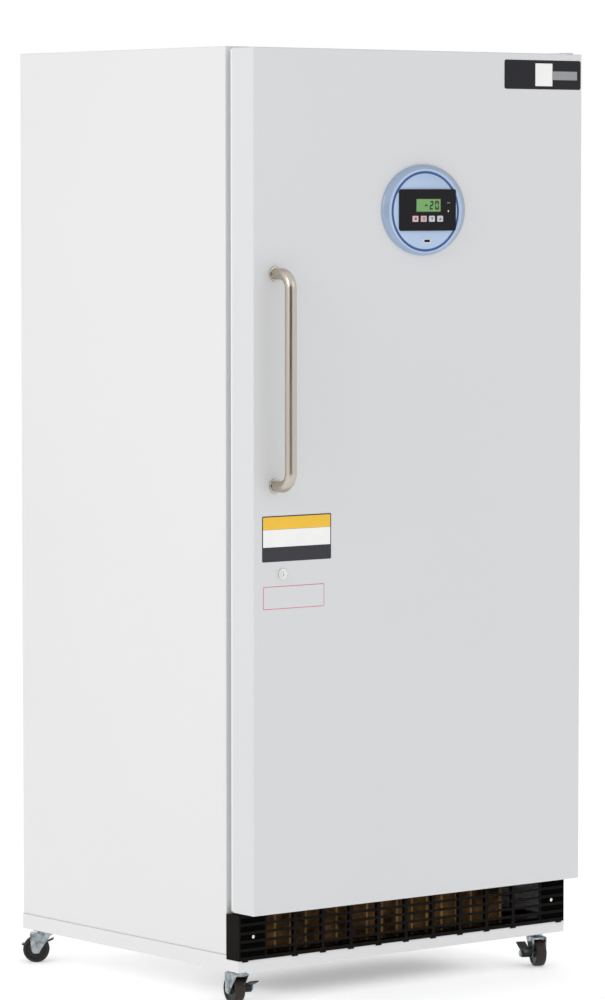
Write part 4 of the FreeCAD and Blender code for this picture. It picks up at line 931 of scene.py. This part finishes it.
def stage_sheet(name, corners, material):
    """Flat four-cornered sheet of the stage."""
    mesh = bpy.data.meshes.new(name)
    mesh.from_pydata(corners, [], [(0, 1, 2, 3)])
    mesh.materials.append(material)
    sheet = placed(name, mesh)
    return sheet


class FREEZER_OT_stage(bpy.types.Operator):
    """Lay the pale floor, light the studio and place the camera"""
    bl_idname = "freezer.stage"
    bl_label = "Stage"

    def execute(self, context):
        scene = context.scene
        scene.view_settings.view_transform = "Standard"
        self.floor()
        self.world(scene)
        self.lamp("key", (-5.2, -1.2, 3.6), 2.6, 58)
        self.lamp("front", (1.6, -5.2, 3.8), 2.6, 16)
        self.lamp("back", (3.0, 4.4, 3.6), 3.0, 30)
        self.dark_card()
        self.camera(scene)
        return {"FINISHED"}

    def dark_card(self):
        """Tall dark card beside the camera, seen only as a dark band in shiny metal."""
        corners = [(-5.8, -3.1, 0), (-1.8, -6.3, 0), (-1.8, -6.3, 3.4), (-5.8, -3.1, 3.4)]
        card = stage_sheet("dark_card", corners, finish("black_plastic"))
        card.visible_camera = card.visible_diffuse = card.visible_shadow = card.visible_transmission = False

    def floor(self):
        """Large plain pale floor."""
        white = bpy.data.materials.new("floor_white")
        white.use_nodes = True
        fill(white.node_tree.nodes["Principled BSDF"], Base_Color=(0.96, 0.96, 0.96, 1), Roughness=0.9,
             Emission_Color=(1, 1, 1, 1), Emission_Strength=0.32, Specular_IOR_Level=0.1)
        side = 30
        stage_sheet("floor", [(-side, -side, 0), (side, -side, 0), (side, side, 0), (-side, side, 0)], white)

    def world(self, scene):
        """White to the camera, in reflections and through clear things, plain grey light elsewhere."""
        scene.world = bpy.data.worlds.new("studio")
        scene.world.use_nodes = True
        tree = scene.world.node_tree
        rays = tree.nodes.new("ShaderNodeLightPath").outputs
        white = rays["Is Camera Ray"]
        for kind in ("Is Glossy Ray", "Is Transmission Ray"):
            either = add(tree, "ShaderNodeMath", ("operation", "MAXIMUM"))
            tree.links.new(white, either.inputs[0])
            tree.links.new(rays[kind], either.inputs[1])
            white = either.outputs["Value"]
        level = add(tree, "ShaderNodeMapRange", Value=white, To_Min=0.7, To_Max=1)
        fill(tree.nodes["Background"], Color=(1, 1, 1, 1), Strength=level.outputs["Result"])

    def lamp(self, name, place, size, power):
        """Soft square lamp aimed at the freezer's middle."""
        light = bpy.data.lights.new(name, "AREA")
        light.shape = "SQUARE"
        light.size = size
        light.energy = power * sizes().lamp_level
        lamp = placed(name, light)
        lamp.location = place
        aim = Vector((0, 0, 1.0)) - Vector(place)
        lamp.rotation_euler = aim.to_track_quat("-Z", "Y").to_euler()

    def camera(self, scene):
        """The photograph's point of view, turned round a point on the cabinet's middle."""
        data = bpy.data.cameras.new("camera")
        data.sensor_width = 36
        data.lens = 170.86
        data.shift_y = 0.02119
        data.clip_end = 100
        scene.camera = placed("camera", data)
        turn, dip, distance, aside = math.radians(38.472), math.radians(4.005), 10.7399, 0.0496
        forward = Vector((math.sin(turn) * math.cos(dip), math.cos(turn) * math.cos(dip), -math.sin(dip)))
        right = Vector((math.cos(turn), -math.sin(turn), 0))
        pivot = Vector((middle("outer_cabinet").x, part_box("outer_cabinet")[0].y + 0.4, 1.0045))
        scene.camera.location = pivot - forward * distance + right * aside
        scene.camera.rotation_euler = forward.to_track_quat("-Z", "Y").to_euler()


class FREEZER_PT_sidebar(bpy.types.Panel):
    """Lists the freezer's pieces, sizes and colours"""
    bl_label = "Laboratory Freezer"
    bl_idname = "FREEZER_PT_sidebar"
    bl_space_type = "VIEW_3D"
    bl_region_type = "UI"
    bl_category = "Freezer"

    def draw(self, context):
        for step in STEPS:
            self.layout.operator(step.bl_idname)
        for group in (context.scene.freezer_sizes, context.scene.freezer_colours):
            box = self.layout.box()
            for name in type(group).__annotations__:
                box.prop(group, name)


STEPS = (FREEZER_OT_cabinet, FREEZER_OT_rear_screws, FREEZER_OT_door, FREEZER_OT_handle, FREEZER_OT_lock,
         FREEZER_OT_panel_surround, FREEZER_OT_controller, FREEZER_OT_buttons, FREEZER_OT_plates,
         FREEZER_OT_grille, FREEZER_OT_condensing_unit, FREEZER_OT_cooling_unit, FREEZER_OT_shelves,
         FREEZER_OT_casters, FREEZER_OT_stage)
CLASSES = (FreezerColours, FreezerSizes, *STEPS, FREEZER_PT_sidebar)


def register():
    for cls in CLASSES:
        bpy.utils.register_class(cls)
    bpy.types.Scene.freezer_colours = PointerProperty(type=FreezerColours)
    bpy.types.Scene.freezer_sizes = PointerProperty(type=FreezerSizes)


def unregister():
    del bpy.types.Scene.freezer_sizes
    del bpy.types.Scene.freezer_colours
    for cls in reversed(CLASSES):
        bpy.utils.unregister_class(cls)


def main():
    register()
    for step in STEPS:
        getattr(bpy.ops.freezer, step.bl_idname.split(".")[1])()


if __name__ == "__main__":
    main()
